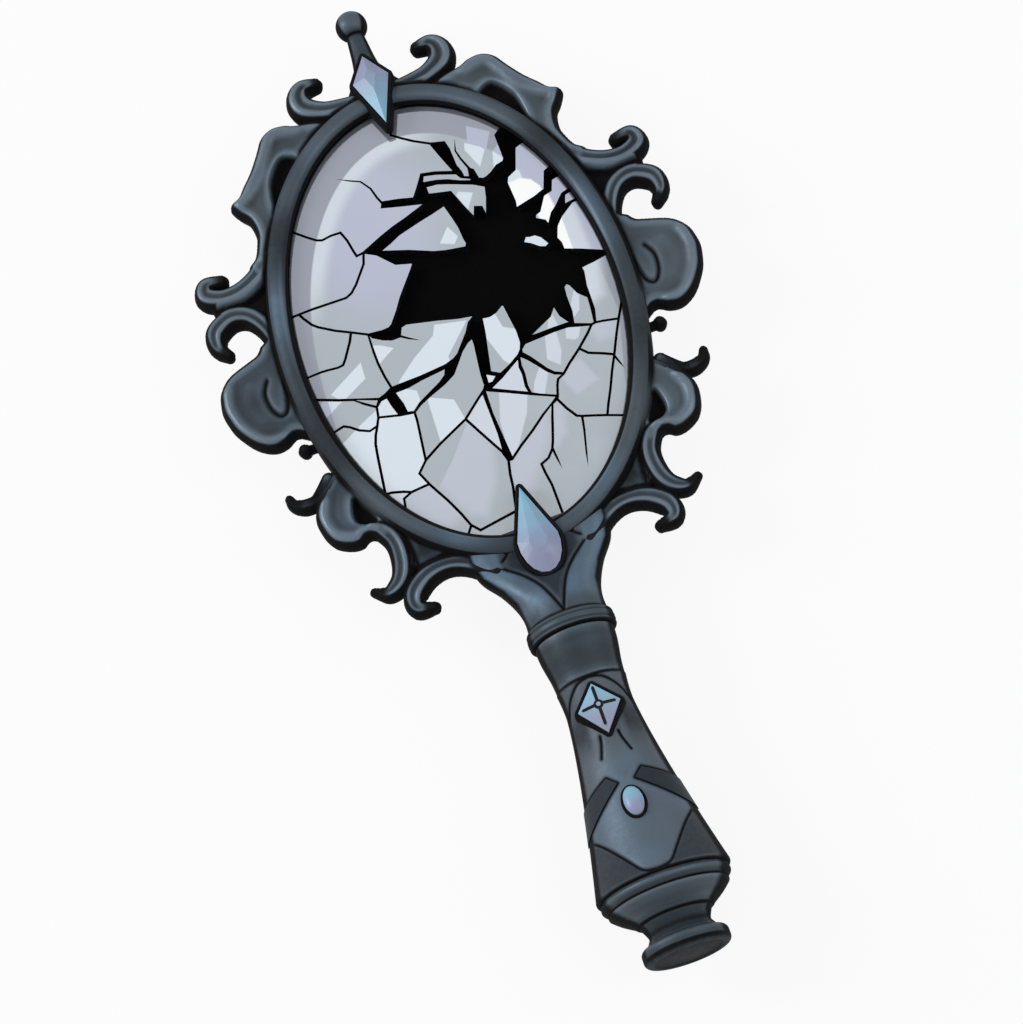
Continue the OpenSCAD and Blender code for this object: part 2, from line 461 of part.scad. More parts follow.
// Cracks that run into a shard and stop there: the shard, then the crack from its mouth
run_cracks = [
    ["shard_upper_left", [[-8.2, 37.6], [-9.1, 40], [-9.9, 43.2], [-11.8, 46.2], [-14.6, 47.6], [-17.8, 49.5]]],
    ["shard_upper_right", [[16.9, 37.4], [15.2, 42.4], [14.6, 45.2], [15.6, 49]]],
    ["shard_heart", [[-15.9, -0.3], [-13.6, -2], [-10.7, -3.8]]],
    ["shard_right_sliver", [[34.3, -26], [35.1, -28.5], [35.8, -30.5]]],
    ["shard_low_right", [[11.3, -44.6], [11.6, -48], [11.9, -51]]],
    ["shard_low_right", [[21.3, -38.8], [20.5, -43], [19, -49], [18.1, -53]]]];

function area(p) = let (n = len(p)) [for (i = [0 : n - 1]) cross(p[i], p[(i + 1) % n])]
    * [for (i = [1 : n]) 0.5];
function unit(v) = v / norm(v);
// The outline drawn in by d all round, with sharp corners held back from running far
function inset(p, d) = let (n = len(p), s = sign(area(p))) [for (i = [0 : n - 1])
    let (e = unit(p[i] - p[(i + n - 1) % n]), f = unit(p[(i + 1) % n] - p[i]),
         u = [-e.y, e.x] * s, v = [-f.y, f.x] * s)
    p[i] + d * (u + v) / max(0.35, 1 + u * v)];
function held(p) = let (k = norm([p.x / glass_a, p.y / glass_b])) k > 1 ? p / k : p;
function middle(p) = [for (i = p) 1 / len(p)] * p;
// A leaning shard is lifted until its lowest corner meets the board
function lift(p, c, lean) = -min([for (q = p) let (r = held(q) - c)
    r.y * sin(lean.x) - r.x * sin(lean.y)]);
// A run crack tapers from its mouth to nothing
function ribbon(p, w) = let (n = len(p), side = [for (i = [0 : n - 2])
    let (u = unit(p[i + 1] - p[max(i - 1, 0)])) [-u.y, u.x] * w / 2 * (1 - 0.5 * i / (n - 1))])
    concat([for (i = [0 : n - 2]) p[i] + side[i]], [p[n - 1]], [for (i = [n - 2 : -1 : 0]) p[i] - side[i]]);

// The whole glass before it broke, with its bevelled border, drawn round: it is
// stretched to its oval once the shards are cut from it
glass_stretch = glass_b / glass_a;
module round_glass() rotate_extrude($fn = 96) polygon([[0, 0], [glass_a, 0], [glass_a, glass_t - bevel_drop],
    [open_a - bevel_w, glass_t], [0, glass_t]]);
module through_glass(outline) translate([0, 0, -1]) linear_extrude(glass_t + 2)
    polygon([for (p = outline) [p.x, p.y / glass_stretch]]);
module shard(s) color(silver_glass) {
    outline = [for (p = s[3]) on_glass(p)];
    lean = [s[1], s[2]];
    inside = [for (p = outline) held(p)];
    c = middle(inside);
    translate([c.x, c.y, glass_z + lift(outline, c, lean)]) rotate([lean.x, lean.y, 0])
        translate([-c.x, -c.y, 0]) scale([1, glass_stretch, 1]) difference() {
            intersection() {
                round_glass();
                through_glass(inset(outline, crack_gap / 2));
            }
            for (r = run_cracks) if (r[0] == s[0])
                through_glass(ribbon([for (p = r[1]) on_glass(p)], crack_gap));
        }
}

// ---- Board, cover and screws ----

module backing_board() color("#14161a")
    translate([0, 0, board_z]) linear_extrude(board_t) oval(glass_a, glass_b);

cover_play = 0.1;
cover_a = outer_a - 0.5;
cover_stretch = (outer_b - 0.5) / cover_a;
cover_top = base_z - cover_play;
cover_depth = cover_top - flange_t;
// The round runs a little below the panel, and a straight cut leaves the panel flat
panel_cut = 0.1;
cover_round = cover_depth + panel_cut;
lip_play = 0.1;
// The cover in section, from its middle to its rim: a flat panel, a quarter round, and
// a flange turned in under the ring's wall
module cover_section() {
    flat = cover_a - cover_round;
    difference() {
        union() {
            translate([0, -panel_cut]) square([flat, cover_top + panel_cut]);
            translate([flat, cover_depth]) circle(cover_round, $fn = 200);
            translate([flat, cover_depth]) square([cover_round, flange_t]);
        }
        translate([-1, cover_wall]) square([flat + 1, cover_depth - cover_wall]);
        intersection() {
            translate([flat, cover_depth]) circle(cover_depth - cover_wall, $fn = 200);
            square([cover_a, cover_depth]);
        }
        translate([-1, cover_depth - 0.5]) square([open_a - 1, cover_top]);
    }
}
module back_cover() color(dark_slate) difference() {
    union() {
        scale([1, cover_stretch, 1]) rotate_extrude($fn = 200) intersection() {
            cover_section();
            translate([0, -1]) square([cover_a, cover_top + 1]);
        }
        translate([0, 0, cover_depth]) linear_extrude(board_z - cover_play - cover_depth) difference() {
            oval(glass_a - lip_play, glass_b - lip_play);
            oval(open_a, open_b);
        }
    }
    translate([-2 * cover_a, -2 * outer_b, -1]) cube([4 * cover_a, 4 * outer_b, 1]);
    at_screws() cylinder(d = screw_d + 2 * tang_play, h = cover_top + 5, $fn = 24);
    at_screws() translate([0, 0, -1])
        cylinder(r = screw_d + tang_play, h = cover_depth + head_len + 1, $fn = 24);
}
module back_cover_screws() color("silver") at_screws() translate([0, 0, cover_depth]) {
    cylinder(r = screw_d - tang_play, h = head_len, $fn = 24);
    cylinder(d = screw_d, h = base_z + screw_hold - cover_depth, $fn = 24);
}

// ---- The handle ----

// A turned piece: children in section, radius along X and length along Y, with the tang's bore
module turned(y) on_axis(y) rotate_extrude($fn = 96) difference() {
    children();
    translate([-1, -1]) square([tang_d / 2 + tang_play + 1, 200]);
}

module tang() color("silver") on_axis(handle_y + tang_hold)
    cylinder(d = tang_d, h = handle_y + tang_hold - cap_y + cap_len / 2, $fn = 48);

module collar_ring() color(slate) turned(handle_y) {
    square([collar_r - collar_len / 2, collar_len]);
    translate([collar_r - collar_len / 2, collar_len / 2]) circle(collar_len / 2, $fn = 48);
}

module neck_sleeve() color(dark_slate) turned(sleeve_y) polygon([[0, 0], [sleeve_r - edge, 0],
    [sleeve_r, edge], [sleeve_r - 0.1, sleeve_len * 0.4], [waist_r + 0.6, sleeve_len - edge],
    [waist_r + 0.3, sleeve_len], [0, sleeve_len]]);

// The grip flares a little at its top and swells in one long curve to its foot
flare_len = 6;
function grip_r(s) = s < flare_len ? waist_r + 0.4 * pow(1 - s / flare_len, 2)
    : waist_r + (swell_r - waist_r) * pow((s - flare_len) / (grip_len - 1 - flare_len), 1.3);
function grip_slope(s) = atan((grip_r(s + 0.5) - grip_r(s - 0.5)) / 1);
grip_steps = 18;
module grip_section(grow = 0) polygon(concat([[0, 0]],
    [for (i = [0 : grip_steps]) let (s = (grip_len - 1) * i / grip_steps) [grip_r(s) + grow, s]],
    [[swell_r + grow, grip_len], [0, grip_len]]));
module on_grip(s) translate([0, grip_y - s, axis_z + grip_r(s)]) rotate([-grip_slope(s), 0, 0]) children();

// The kite stone near the top of the grip, and the small drop below it
kite_at = 8.8;
kite = [[0, 6.3], [5.4, 0], [0, -7.2], [-5.4, 0]];
kite_rim = [[0, 8.3], [7.1, 0], [0, -9.3], [-7.1, 0]];
bud_at = 35;
bud_r = 2.4;
bud_stretch = 1.6;
module diamond_gem() color(blue_stone) on_grip(kite_at) stone(0.9) {
    polygon(kite);
    polygon(kite * 0.12);
}
module grip_gem() color(blue_stone) on_grip(bud_at) intersection() {
    linear_extrude(4) oval(bud_r, bud_r * bud_stretch);
    scale([1, bud_stretch, 0.75]) sphere(bud_r * 1.1, $fn = 48);
}

// Two dark bars let into the grip, running out and down round its sides
bar = [[4.5, -26.7], [2.3, -29], [16, -40.1], [16, -32.2]];
module bar_prism(grow) translate([0, grip_y, axis_z]) linear_extrude(2 * swell_r)
    polygon(inset(bar, -grow));
module bar_shell(inner, outer) difference() {
    on_axis(grip_y) rotate_extrude($fn = 96) grip_section(outer);
    on_axis(grip_y + 1) rotate_extrude($fn = 96) translate([0, 1]) {
        grip_section(inner);
        translate([0, -2]) square([waist_r, 2.5]);
        translate([0, grip_len - 0.5]) square([swell_r + inner, 3]);
    }
}
module inlay() intersection() {
    bar_prism(0);
    bar_shell(-inlay_depth + stone_play, inlay_proud);
}
module inlay_right() color(dark_slate) inlay();
module inlay_left() color(dark_slate) mirror([1, 0, 0]) inlay();

module grip() color(slate) difference() {
    union() {
        turned(grip_y) grip_section();
        on_grip(kite_at) translate([0, 0, -4]) linear_extrude(4.7) polygon(kite_rim);
        on_grip(bud_at) translate([0, 0, -2]) linear_extrude(2.5) oval(bud_r + 0.9, bud_r * bud_stretch + 0.9);
    }
    on_grip(kite_at) translate([0, 0, -stone_play]) linear_extrude(5) polygon(inset(kite, -stone_play));
    on_grip(bud_at) translate([0, 0, -stone_play]) linear_extrude(5)
        oval(bud_r + stone_play, bud_r * bud_stretch + stone_play);
    both_sides() intersection() {
        bar_prism(stone_play);
        bar_shell(-inlay_depth, 3);
    }
}

module end_band() color(dark_slate) turned(band_y) {
    polygon([[0, 0], [swell_r - 1, 0], [swell_r - 0.6, band_len / 2], [foot_r, band_len], [0, band_len]]);
}
module grip_foot() color(slate) turned(foot_y) polygon([[0, 0], [foot_r - 0.4, 0], [foot_r, 0.4],
    [foot_tip_r + 1, foot_len - 0.8], [foot_tip_r, foot_len], [0, foot_len]]);

// The pommel's neck is hollowed all round by an arc
module pommel_neck() color(dark_slate) turned(pommel_y) {
    hollow = pommel_neck_len * 0.55;
    difference() {
        square([pommel_neck_r + 1.4, pommel_neck_len]);
        translate([pommel_neck_r + hollow, pommel_neck_len * 0.55]) circle(hollow, $fn = 48);
    }
}
module pommel_cap() color(dark_slate) difference() {
    on_axis(cap_y) rotate_extrude($fn = 96) {
        square([cap_r - cap_len / 3, cap_len]);
        translate([0, cap_len / 3]) square([cap_r, cap_len / 3]);
        for (y = [cap_len / 3, 2 * cap_len / 3])
            translate([cap_r - cap_len / 3, y]) circle(cap_len / 3, $fn = 48);
    }
    on_axis(cap_y + 1) cylinder(d = tang_d + 2 * tang_play, h = cap_len / 2 + 1 + tang_play, $fn = 48);
}

frame();
backing_board();
back_cover();
back_cover_screws();
crown_gem();
drop_gem();
collar_ring();
neck_sleeve();
grip();
inlay_left();
inlay_right();
diamond_gem();
grip_gem();
end_band();
grip_foot();
pommel_neck();
pommel_cap();
tang();
for (s = shards) shard(s);
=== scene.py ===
import bpy
import math
import numpy as np
from mathutils import Matrix, Vector


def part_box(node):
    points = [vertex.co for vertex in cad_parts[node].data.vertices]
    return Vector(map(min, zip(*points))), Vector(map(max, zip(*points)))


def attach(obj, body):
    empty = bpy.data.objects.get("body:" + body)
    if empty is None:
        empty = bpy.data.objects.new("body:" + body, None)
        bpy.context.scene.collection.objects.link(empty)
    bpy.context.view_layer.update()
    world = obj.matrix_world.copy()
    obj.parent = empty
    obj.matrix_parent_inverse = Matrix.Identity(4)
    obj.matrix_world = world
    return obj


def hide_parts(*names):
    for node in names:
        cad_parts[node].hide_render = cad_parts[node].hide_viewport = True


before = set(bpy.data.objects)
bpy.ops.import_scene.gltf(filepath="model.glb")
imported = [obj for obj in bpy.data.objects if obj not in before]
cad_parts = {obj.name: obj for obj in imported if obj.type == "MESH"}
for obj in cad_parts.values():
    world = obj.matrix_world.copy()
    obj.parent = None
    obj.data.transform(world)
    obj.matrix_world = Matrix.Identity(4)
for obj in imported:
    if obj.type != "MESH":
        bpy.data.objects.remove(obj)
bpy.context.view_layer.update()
print("frame loaded:", len(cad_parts), "nodes")

mm = 0.001


# sizes that the looks share, in millimetres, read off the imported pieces

def boxOf(node):
    low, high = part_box(node)
    return np.array(low) / mm, np.array(high) / mm


boardHigh = boxOf("backing_board")[1]
frameHigh = boxOf("frame")[1]
tangLow, tangHigh = boxOf("tang")
gripLow, gripHigh = boxOf("grip")
collarLow, collarHigh = boxOf("collar_ring")

glassLap = 2.2  # how far the frame reaches over the glass
glassA, glassB = boardHigh[0], boardHigh[1]
openA, openB = glassA - glassLap, glassB - glassLap
ringWidth = 6.0
outerA, outerB = openA + ringWidth, openB + ringWidth
axisZ = (tangLow[2] + tangHigh[2]) / 2
faceZ = axisZ + 2
lipZ = faceZ + 0.2
crestZ = faceZ + 3.5
baseZ = faceZ - 7
rebateIn = 2.8  # from the sight edge out to the wall of the rebate
settingTop = crestZ + 1
handleY = collarHigh[1]
gripTopY = gripHigh[1]


# plane curves and distances, as whole arrays

def smoothLine(points, steps=8, closed=False):
    # a Catmull-Rom curve: each span blends its four nearest points by cubic weights
    p = np.array(points, float)
    n = len(p)
    if closed:
        ends = [np.roll(p, 1, 0), p, np.roll(p, -1, 0), np.roll(p, -2, 0)]
    else:
        k = np.arange(n - 1)
        ends = [p[np.maximum(k - 1, 0)], p[:-1], p[1:], p[np.minimum(k + 2, n - 1)]]
    a, b, c, d = (e[:, None, :] for e in ends)
    t = (np.arange(steps) / steps)[None, :, None]
    q = (2 * b + (c - a) * t + (2 * a - 5 * b + 4 * c - d) * t**2 + (3 * b - a - 3 * c + d) * t**3) / 2
    q = q.reshape(-1, p.shape[1])
    return q if closed else np.vstack([q, p[-1:]])


def densely(line, step):
    # adds points along each span, so that tones have room and smooth normals keep the corners
    p = np.array(line, float)
    parts = []
    for a, b in zip(p[:-1], p[1:]):
        n = max(1, int(np.hypot(*(b - a)) / step))
        parts.append(a + (b - a) * (np.arange(n) / n)[:, None])
    return np.vstack(parts + [p[-1:]])


def lineDistance(x, y, line):
    # distance to the nearest span of a line, how far along it (0 to 1), and the side it lies on
    a, b = line[:-1, :2], line[1:, :2]
    run = b - a
    px, py = x.reshape(-1, 1) - a[:, 0], y.reshape(-1, 1) - a[:, 1]
    t = np.clip((px * run[:, 0] + py * run[:, 1]) / np.maximum((run**2).sum(1), 1e-9), 0, 1)
    dx, dy = px - t * run[:, 0], py - t * run[:, 1]
    far = dx**2 + dy**2
    k = far.argmin(1)
    rows = np.arange(len(k))
    along = (k + t[rows, k]) / len(run)
    side = np.sign(run[k, 0] * dy[rows, k] - run[k, 1] * dx[rows, k])
    return np.sqrt(far[rows, k]).reshape(x.shape), along.reshape(x.shape), side.reshape(x.shape)


def outlineDistance(x, y, outline):
    # signed distance to a closed outline, negative inside it: a point is inside when a level line from it
    # to the right crosses the outline an odd number of times
    loop = np.vstack([outline, outline[:1]])
    far = lineDistance(x, y, loop)[0]
    a, b = loop[:-1], loop[1:]
    px, py = x.reshape(-1, 1), y.reshape(-1, 1)
    rise = np.where(a[:, 1] == b[:, 1], 1e-9, b[:, 1] - a[:, 1])
    meets = a[:, 0] + (py - a[:, 1]) * (b[:, 0] - a[:, 0]) / rise
    crosses = ((a[:, 1] > py) != (b[:, 1] > py)) & (px < meets)
    inside = (crosses.sum(1) % 2 == 1).reshape(x.shape)
    return np.where(inside, -far, far)


def ovalDistance(x, y, a, b):
    # near the edge: (how far the point's scaled radius is from 1) over the slope of that radius
    scaled = np.sqrt((x / a)**2 + (y / b)**2) + 1e-9
    slope = np.sqrt((x / a**2)**2 + (y / b**2)**2) / scaled + 1e-9
    return (scaled - 1) / slope


def blurred(field, reach):
    # a Gaussian average over a few grid steps, first along one side and then the other
    weights = np.exp(-0.5 * (np.arange(-2 * reach, 2 * reach + 1) / reach)**2)
    weights /= weights.sum()
    for side in (0, 1):
        wide = [(2 * reach, 2 * reach) if side == k else (0, 0) for k in (0, 1)]
        padded = np.pad(field, wide, mode="edge")
        n = field.shape[side]
        moved = (padded[k:k + n] if side == 0 else padded[:, k:k + n] for k in range(len(weights)))
        field = sum(w * part for w, part in zip(weights, moved))
    return field


def ease(value, start, stop):
    # 0 before start, 1 after stop, with a smooth S between: 3 t squared less 2 t cubed
    t = np.clip((value - start) / (stop - start), 0, 1)
    return t * t * (3 - 2 * t)


def groove(distance, width):
    # 1 on a line, falling off to both sides as a bell curve
    return np.exp(-(distance / width)**2)


# putting a surface into a mesh

def addPiece(name, points, faces, tones, node, material):
    # points in millimetres; tones are one number for each point, which the finish reads
    mesh = bpy.data.meshes.new(name)
    mesh.from_pydata((points * mm).tolist(), [], faces)
    for tone, values in tones.items():
        layer = mesh.attributes.new(tone, "FLOAT", "POINT")
        layer.data.foreach_set("value", np.asarray(values, np.float32).ravel())
    mesh.polygons.foreach_set("use_smooth", np.ones(len(mesh.polygons), bool))
    mesh.update()
    piece = bpy.data.objects.new(name, mesh)
    bpy.context.collection.objects.link(piece)
    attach(piece, "root")
    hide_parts(node)
    mesh.materials.append(material)
    return piece


def wrapFaces(rows, columns):
    # quads of a grid whose columns close on themselves
    i, j = np.meshgrid(np.arange(rows - 1), np.arange(columns), indexing="ij")
    k = (j + 1) % columns
    here, above = i * columns, (i + 1) * columns
    return np.stack([here + j, here + k, above + k, above + j], -1).reshape(-1, 4)


def cappedTube(rings):
    # rings of points, with a fan to a pole in the middle of the first and of the last ring
    rows, columns = rings.shape[:2]
    points = np.vstack([rings.reshape(-1, 3), rings[0].mean(0), rings[-1].mean(0)])
    faces = wrapFaces(rows, columns).tolist()
    first, last = rows * columns, rows * columns + 1
    j = np.arange(columns)
    k = (j + 1) % columns
    faces += np.stack([k, j, np.full(columns, first)], -1).tolist()
    end = (rows - 1) * columns
    faces += np.stack([end + j, end + k, np.full(columns, last)], -1).tolist()
    return points, faces


def withPoles(tones):
    # tones of a capped tube's rings, kept between 0 and 1, with a 0 for each of its two poles
    return {k: np.concatenate([np.clip(v, 0, 1).ravel(), [0, 0]]) for k, v in tones.items()}


leastHalf = 0.12  # thinnest half of a relief, away from its edge


def addRelief(name, low, high, step, shape, middle, node, material, mirrored=False, place=None):
    # a height field on a grid, cut along the zero of its edge distance: the grid points at the cut are
    # moved straight onto it, and there the upper and the under side meet at the middle height
    across, along = (np.arange(low[k], high[k] + step, step) for k in (0, 1))
    x, y = np.meshgrid(across, along, indexing="ij")
    edge, top, under, tones = shape(x, y)
    cell = (edge[:-1, :-1] + edge[1:, :-1] + edge[1:, 1:] + edge[:-1, 1:]) / 4 < 0
    for again in range(2):  # where two cells meet only at a corner, a third is filled in
        cell[1:, :-1] |= cell[:-1, :-1] & cell[1:, 1:] & ~cell[1:, :-1] & ~cell[:-1, 1:]
        cell[:-1, :-1] |= cell[1:, :-1] & cell[:-1, 1:] & ~cell[:-1, :-1] & ~cell[1:, 1:]
    around = np.pad(cell, 1).astype(int)
    count = around[:-1, :-1] + around[1:, :-1] + around[1:, 1:] + around[:-1, 1:]
    used, rim = count > 0, (count > 0) & (count < 4)
    gx, gy = np.gradient(edge, step)
    steep = np.maximum(gx**2 + gy**2, 0.25)
    most = 1.5 * step
    shift = np.clip(np.where(rim, edge, 0) / steep, -most, most)
    px, py = x - shift * gx, y - shift * gy
    upZ = np.where(rim, 0, np.maximum(top, leastHalf))
    downZ = np.where(rim, 0, -np.maximum(under, leastHalf))
    topIndex = np.full(x.shape, -1)
    topIndex[used] = np.arange(used.sum())
    lowIndex = topIndex.copy()
    inner = used & ~rim
    lowIndex[inner] = used.sum() + np.arange(inner.sum())
    points = np.vstack([np.stack([px[part], py[part], middle + z[part]], -1)
                        for part, z in ((used, upZ), (inner, downZ))])
    i, j = np.nonzero(cell)
    corners = [(i, j), (i + 1, j), (i + 1, j + 1), (i, j + 1)]
    topFaces = np.stack([topIndex[c] for c in corners], -1)
    lowFaces = np.stack([lowIndex[c] for c in reversed(corners)], -1)
    faces = np.vstack([topFaces, lowFaces])
    if mirrored:
        points[:, 0] *= -1
        faces = faces[:, ::-1]
    if place is not None:
        points = place(points)
    # underneath: painted shade, darkest along the edge
    below = 0.6 + 0.4 * (1 - ease(-edge[inner], 0.2, 1.8))
    tones = {k: np.concatenate([v[used], below if k == "dark" else v[inner]]) for k, v in tones.items()}
    return addPiece(name, points, faces.tolist(), tones, node, material)


# shader writing

class Wire:
    # a shader socket that can be added, taken away and so on like a number
    def __init__(self, sheet, socket):
        self.sheet, self.socket = sheet, socket

    def maths(self, operation, *others):
        terms = dict(enumerate((self,) + others))
        return self.sheet.node("ShaderNodeMath", {"operation": operation}, terms)

    def __add__(self, other):
        return self.maths("ADD", other)

    def __sub__(self, other):
        return self.maths("SUBTRACT", other)

    def __rsub__(self, other):
        return self * -1 + other

    def __mul__(self, other):
        return self.maths("MULTIPLY", other)

    def __truediv__(self, other):
        return self.maths("DIVIDE", other)

    def __rtruediv__(self, other):
        return self.maths("POWER", -1) * other

    def __pow__(self, other):
        return self.maths("POWER", other)

    __radd__ = __add__
    __rmul__ = __mul__

    def along(self, direction):
        # how far a place lies along a plain direction
        return self.sheet.node("ShaderNodeVectorMath", {"operation": "DOT_PRODUCT"},
                               {0: self, 1: direction}, out=1)

    def ramp(self, start, stop):
        # 0 below start, 1 above stop, eased between
        return self.sheet.node("ShaderNodeMapRange", {"interpolation_type": "SMOOTHSTEP"},
                               {"Value": self, "From Min": start, "From Max": stop})


class Sheet:
    # the nodes of a material or of the world
    def __init__(self, owner, end="ShaderNodeOutputMaterial"):
        owner.use_nodes = True
        self.owner, self.end = owner, end
        self.tree = owner.node_tree
        self.tree.nodes.clear()

    def node(self, kind, settings=None, sockets=None, out=0):
        # settings come first, since they decide which sockets the node has
        made = self.tree.nodes.new(kind)
        for key, value in (settings or {}).items():
            setattr(made, key, value)
        for key, value in (sockets or {}).items():
            if isinstance(value, Wire):
                self.tree.links.new(value.socket, made.inputs[key])
            else:
                made.inputs[key].default_value = value
        return Wire(self, made.outputs[out])

    def place(self):
        return self.node("ShaderNodeTexCoord", out="Object")

    def axes(self):
        # across and along the handle, in millimetres
        spot = self.place()
        return [self.node("ShaderNodeSeparateXYZ", sockets={0: spot}, out=k) / mm for k in (0, 1)]

    def noise(self, perMetre, detail=3, rough=0.55):
        return self.node("ShaderNodeTexNoise", {}, {"Vector": self.place(), "Scale": perMetre,
                                                    "Detail": detail, "Roughness": rough})

    def tone(self, name):
        return self.node("ShaderNodeAttribute", {"attribute_name": name}, out="Fac")

    def blend(self, factor, a, b):
        # from colour a to colour b
        return self.node("ShaderNodeMix", {"data_type": "RGBA"}, {0: factor, 6: a, 7: b}, out=2)

    def bump(self, height, strength, distance):
        return self.node("ShaderNodeBump", {}, {"Strength": strength, "Distance": distance,
                                                "Height": height})

    def straight(self):
        # 1 for what the camera sees directly, in a gloss or through glass, and 0 for light on its way
        rays = [self.node("ShaderNodeLightPath", out=f"Is {kind} Ray")
                for kind in ("Camera", "Glossy", "Transmission")]
        return sum(rays).maths("MINIMUM", 1)

    def output(self, shader):
        end = self.tree.nodes.new(self.end)
        self.tree.links.new(shader.socket, end.inputs[0])

    def finish(self, sockets):
        self.output(self.node("ShaderNodeBsdfPrincipled", {}, sockets))
        return self.owner


def newSheet(name):
    return Sheet(bpy.data.materials.new(name))


def paint(red, green, blue):
    # a colour written as on screen, 0 to 255, in the linear values that shaders take
    c = np.array([red, green, blue]) / 255
    return (*np.where(c < 0.04045, c / 12.92, ((c + 0.055) / 1.055)**2.4), 1)


# one finish for all the metal; scales count patches in a metre. bright is the colour of the painted
# highlights, steel that of the painted bluish reflections and of random steel-blue patches
metalLook = dict(slate=paint(76, 85, 92), deep=paint(52, 60, 68), steel=paint(90, 111, 130),
                 black=paint(5, 5, 7), bright=paint(116, 131, 144),
                 broad=26, cloud=70, wave=190, speck=420, grain=700, steelShare=0.35, specular=0.16)


def agedMetalWithPaintedLight(name, body=metalLook["slate"], shade=metalLook["deep"], steel=metalLook["steel"],
              metallic=0.4, rough=0.5, toned=True):
    # cast metal with a dark patina that stays in the hollows; the dark tone also carries painted shade along
    # sides, undersides and edges, the glint tone painted highlights on edges and ridges, partly rubbed
    # bright, and the blue tone painted bluish reflections
    look = metalLook
    s = newSheet(name)
    broad = s.noise(look["broad"], 2).ramp(0.38, 0.66)
    cloud = s.noise(look["cloud"], 4).ramp(0.35, 0.75)
    grain = s.noise(look["grain"], 5, 0.65)
    specks = s.noise(look["speck"], 3).ramp(0.66, 0.74)
    colour = s.blend(specks * 0.35, s.blend(broad, shade, body), shade)
    roughness = rough + (grain - 0.5) * 0.25
    if toned:
        dark, glint, blue = s.tone("dark"), s.tone("glint"), s.tone("blue")
        # painted bluish reflections, then painted highlights, then patina and painted shade towards black
        colour = s.blend(blue * (0.55 + cloud * 0.45), colour, steel)
        colour = s.blend(glint * (0.5 + grain * 0.5), colour, look["bright"])
        colour = s.blend((dark * (0.85 + grain * 0.3)).ramp(0.1, 0.95), colour, look["black"])
        roughness = roughness + dark * 0.45 - glint * 0.12
        metallic = (1 - dark) * metallic
    else:
        colour = s.blend(cloud * look["steelShare"], colour, steel)
    relief = s.bump(grain * 0.6 + s.noise(look["wave"], 3) * 0.4 - specks * 0.3, 0.35, 0.0004)
    return s.finish({"Base Color": colour, "Metallic": metallic, "Roughness": roughness,
                     "Specular IOR Level": look["specular"], "Normal": relief})


castSlate = agedMetalWithPaintedLight("castSlate")
darkMetal = agedMetalWithPaintedLight("darkMetal", paint(56, 65, 72), paint(42, 49, 55), paint(70, 82, 92))
gripMetal = agedMetalWithPaintedLight("gripMetal", paint(84, 91, 98), paint(66, 73, 80), paint(92, 108, 124))
plainDark = agedMetalWithPaintedLight("plainDark", paint(50, 58, 64), paint(38, 44, 50), paint(70, 82, 92), toned=False)
inlayDark = agedMetalWithPaintedLight("inlayDark", paint(40, 47, 53), paint(30, 36, 41), paint(52, 60, 68),
                      metallic=0.2, rough=0.65, toned=False)
plainSteel = agedMetalWithPaintedLight("plainSteel", paint(120, 124, 128), paint(96, 100, 104), paint(130, 136, 142),
                       metallic=0.9, rough=0.35, toned=False)


# the ring round the glass
# stretches of the ring: middle and half width in degrees up from the right end, and strength; the left half
# has the same. blueAt are painted bluish reflections, darkAt and leftDarkAt painted dark reflections. At the
# joins a leaf runs into the ring with no dark line between them
ringLook = dict(stations=420, grain=0.5, innerLine=0.35, footLine=1.15, outerLine=5.1, softness=0.25,
                blueAt=[(14, 10, 1.0), (-64, 10, 0.8), (62, 16, 0.45)],
                darkAt=[(34, 12, 0.55), (-20, 18, 0.5), (90, 20, 0.16)], leftDarkAt=[(50, 14, 0.3)],
                joinAt=[(50, 9, 1.0), (-15, 6, 0.9), (-38, 6, 0.9)])


def lobes(turn, places):
    # how strongly a place on the ring lies in the named stretches; both halves count from their own end
    folded = 90 - np.abs((turn + 90) % 360 - 180)
    total = sum(strength * groove(folded - at, wide) for at, wide, strength in places)
    return np.clip(total, 0, 1)


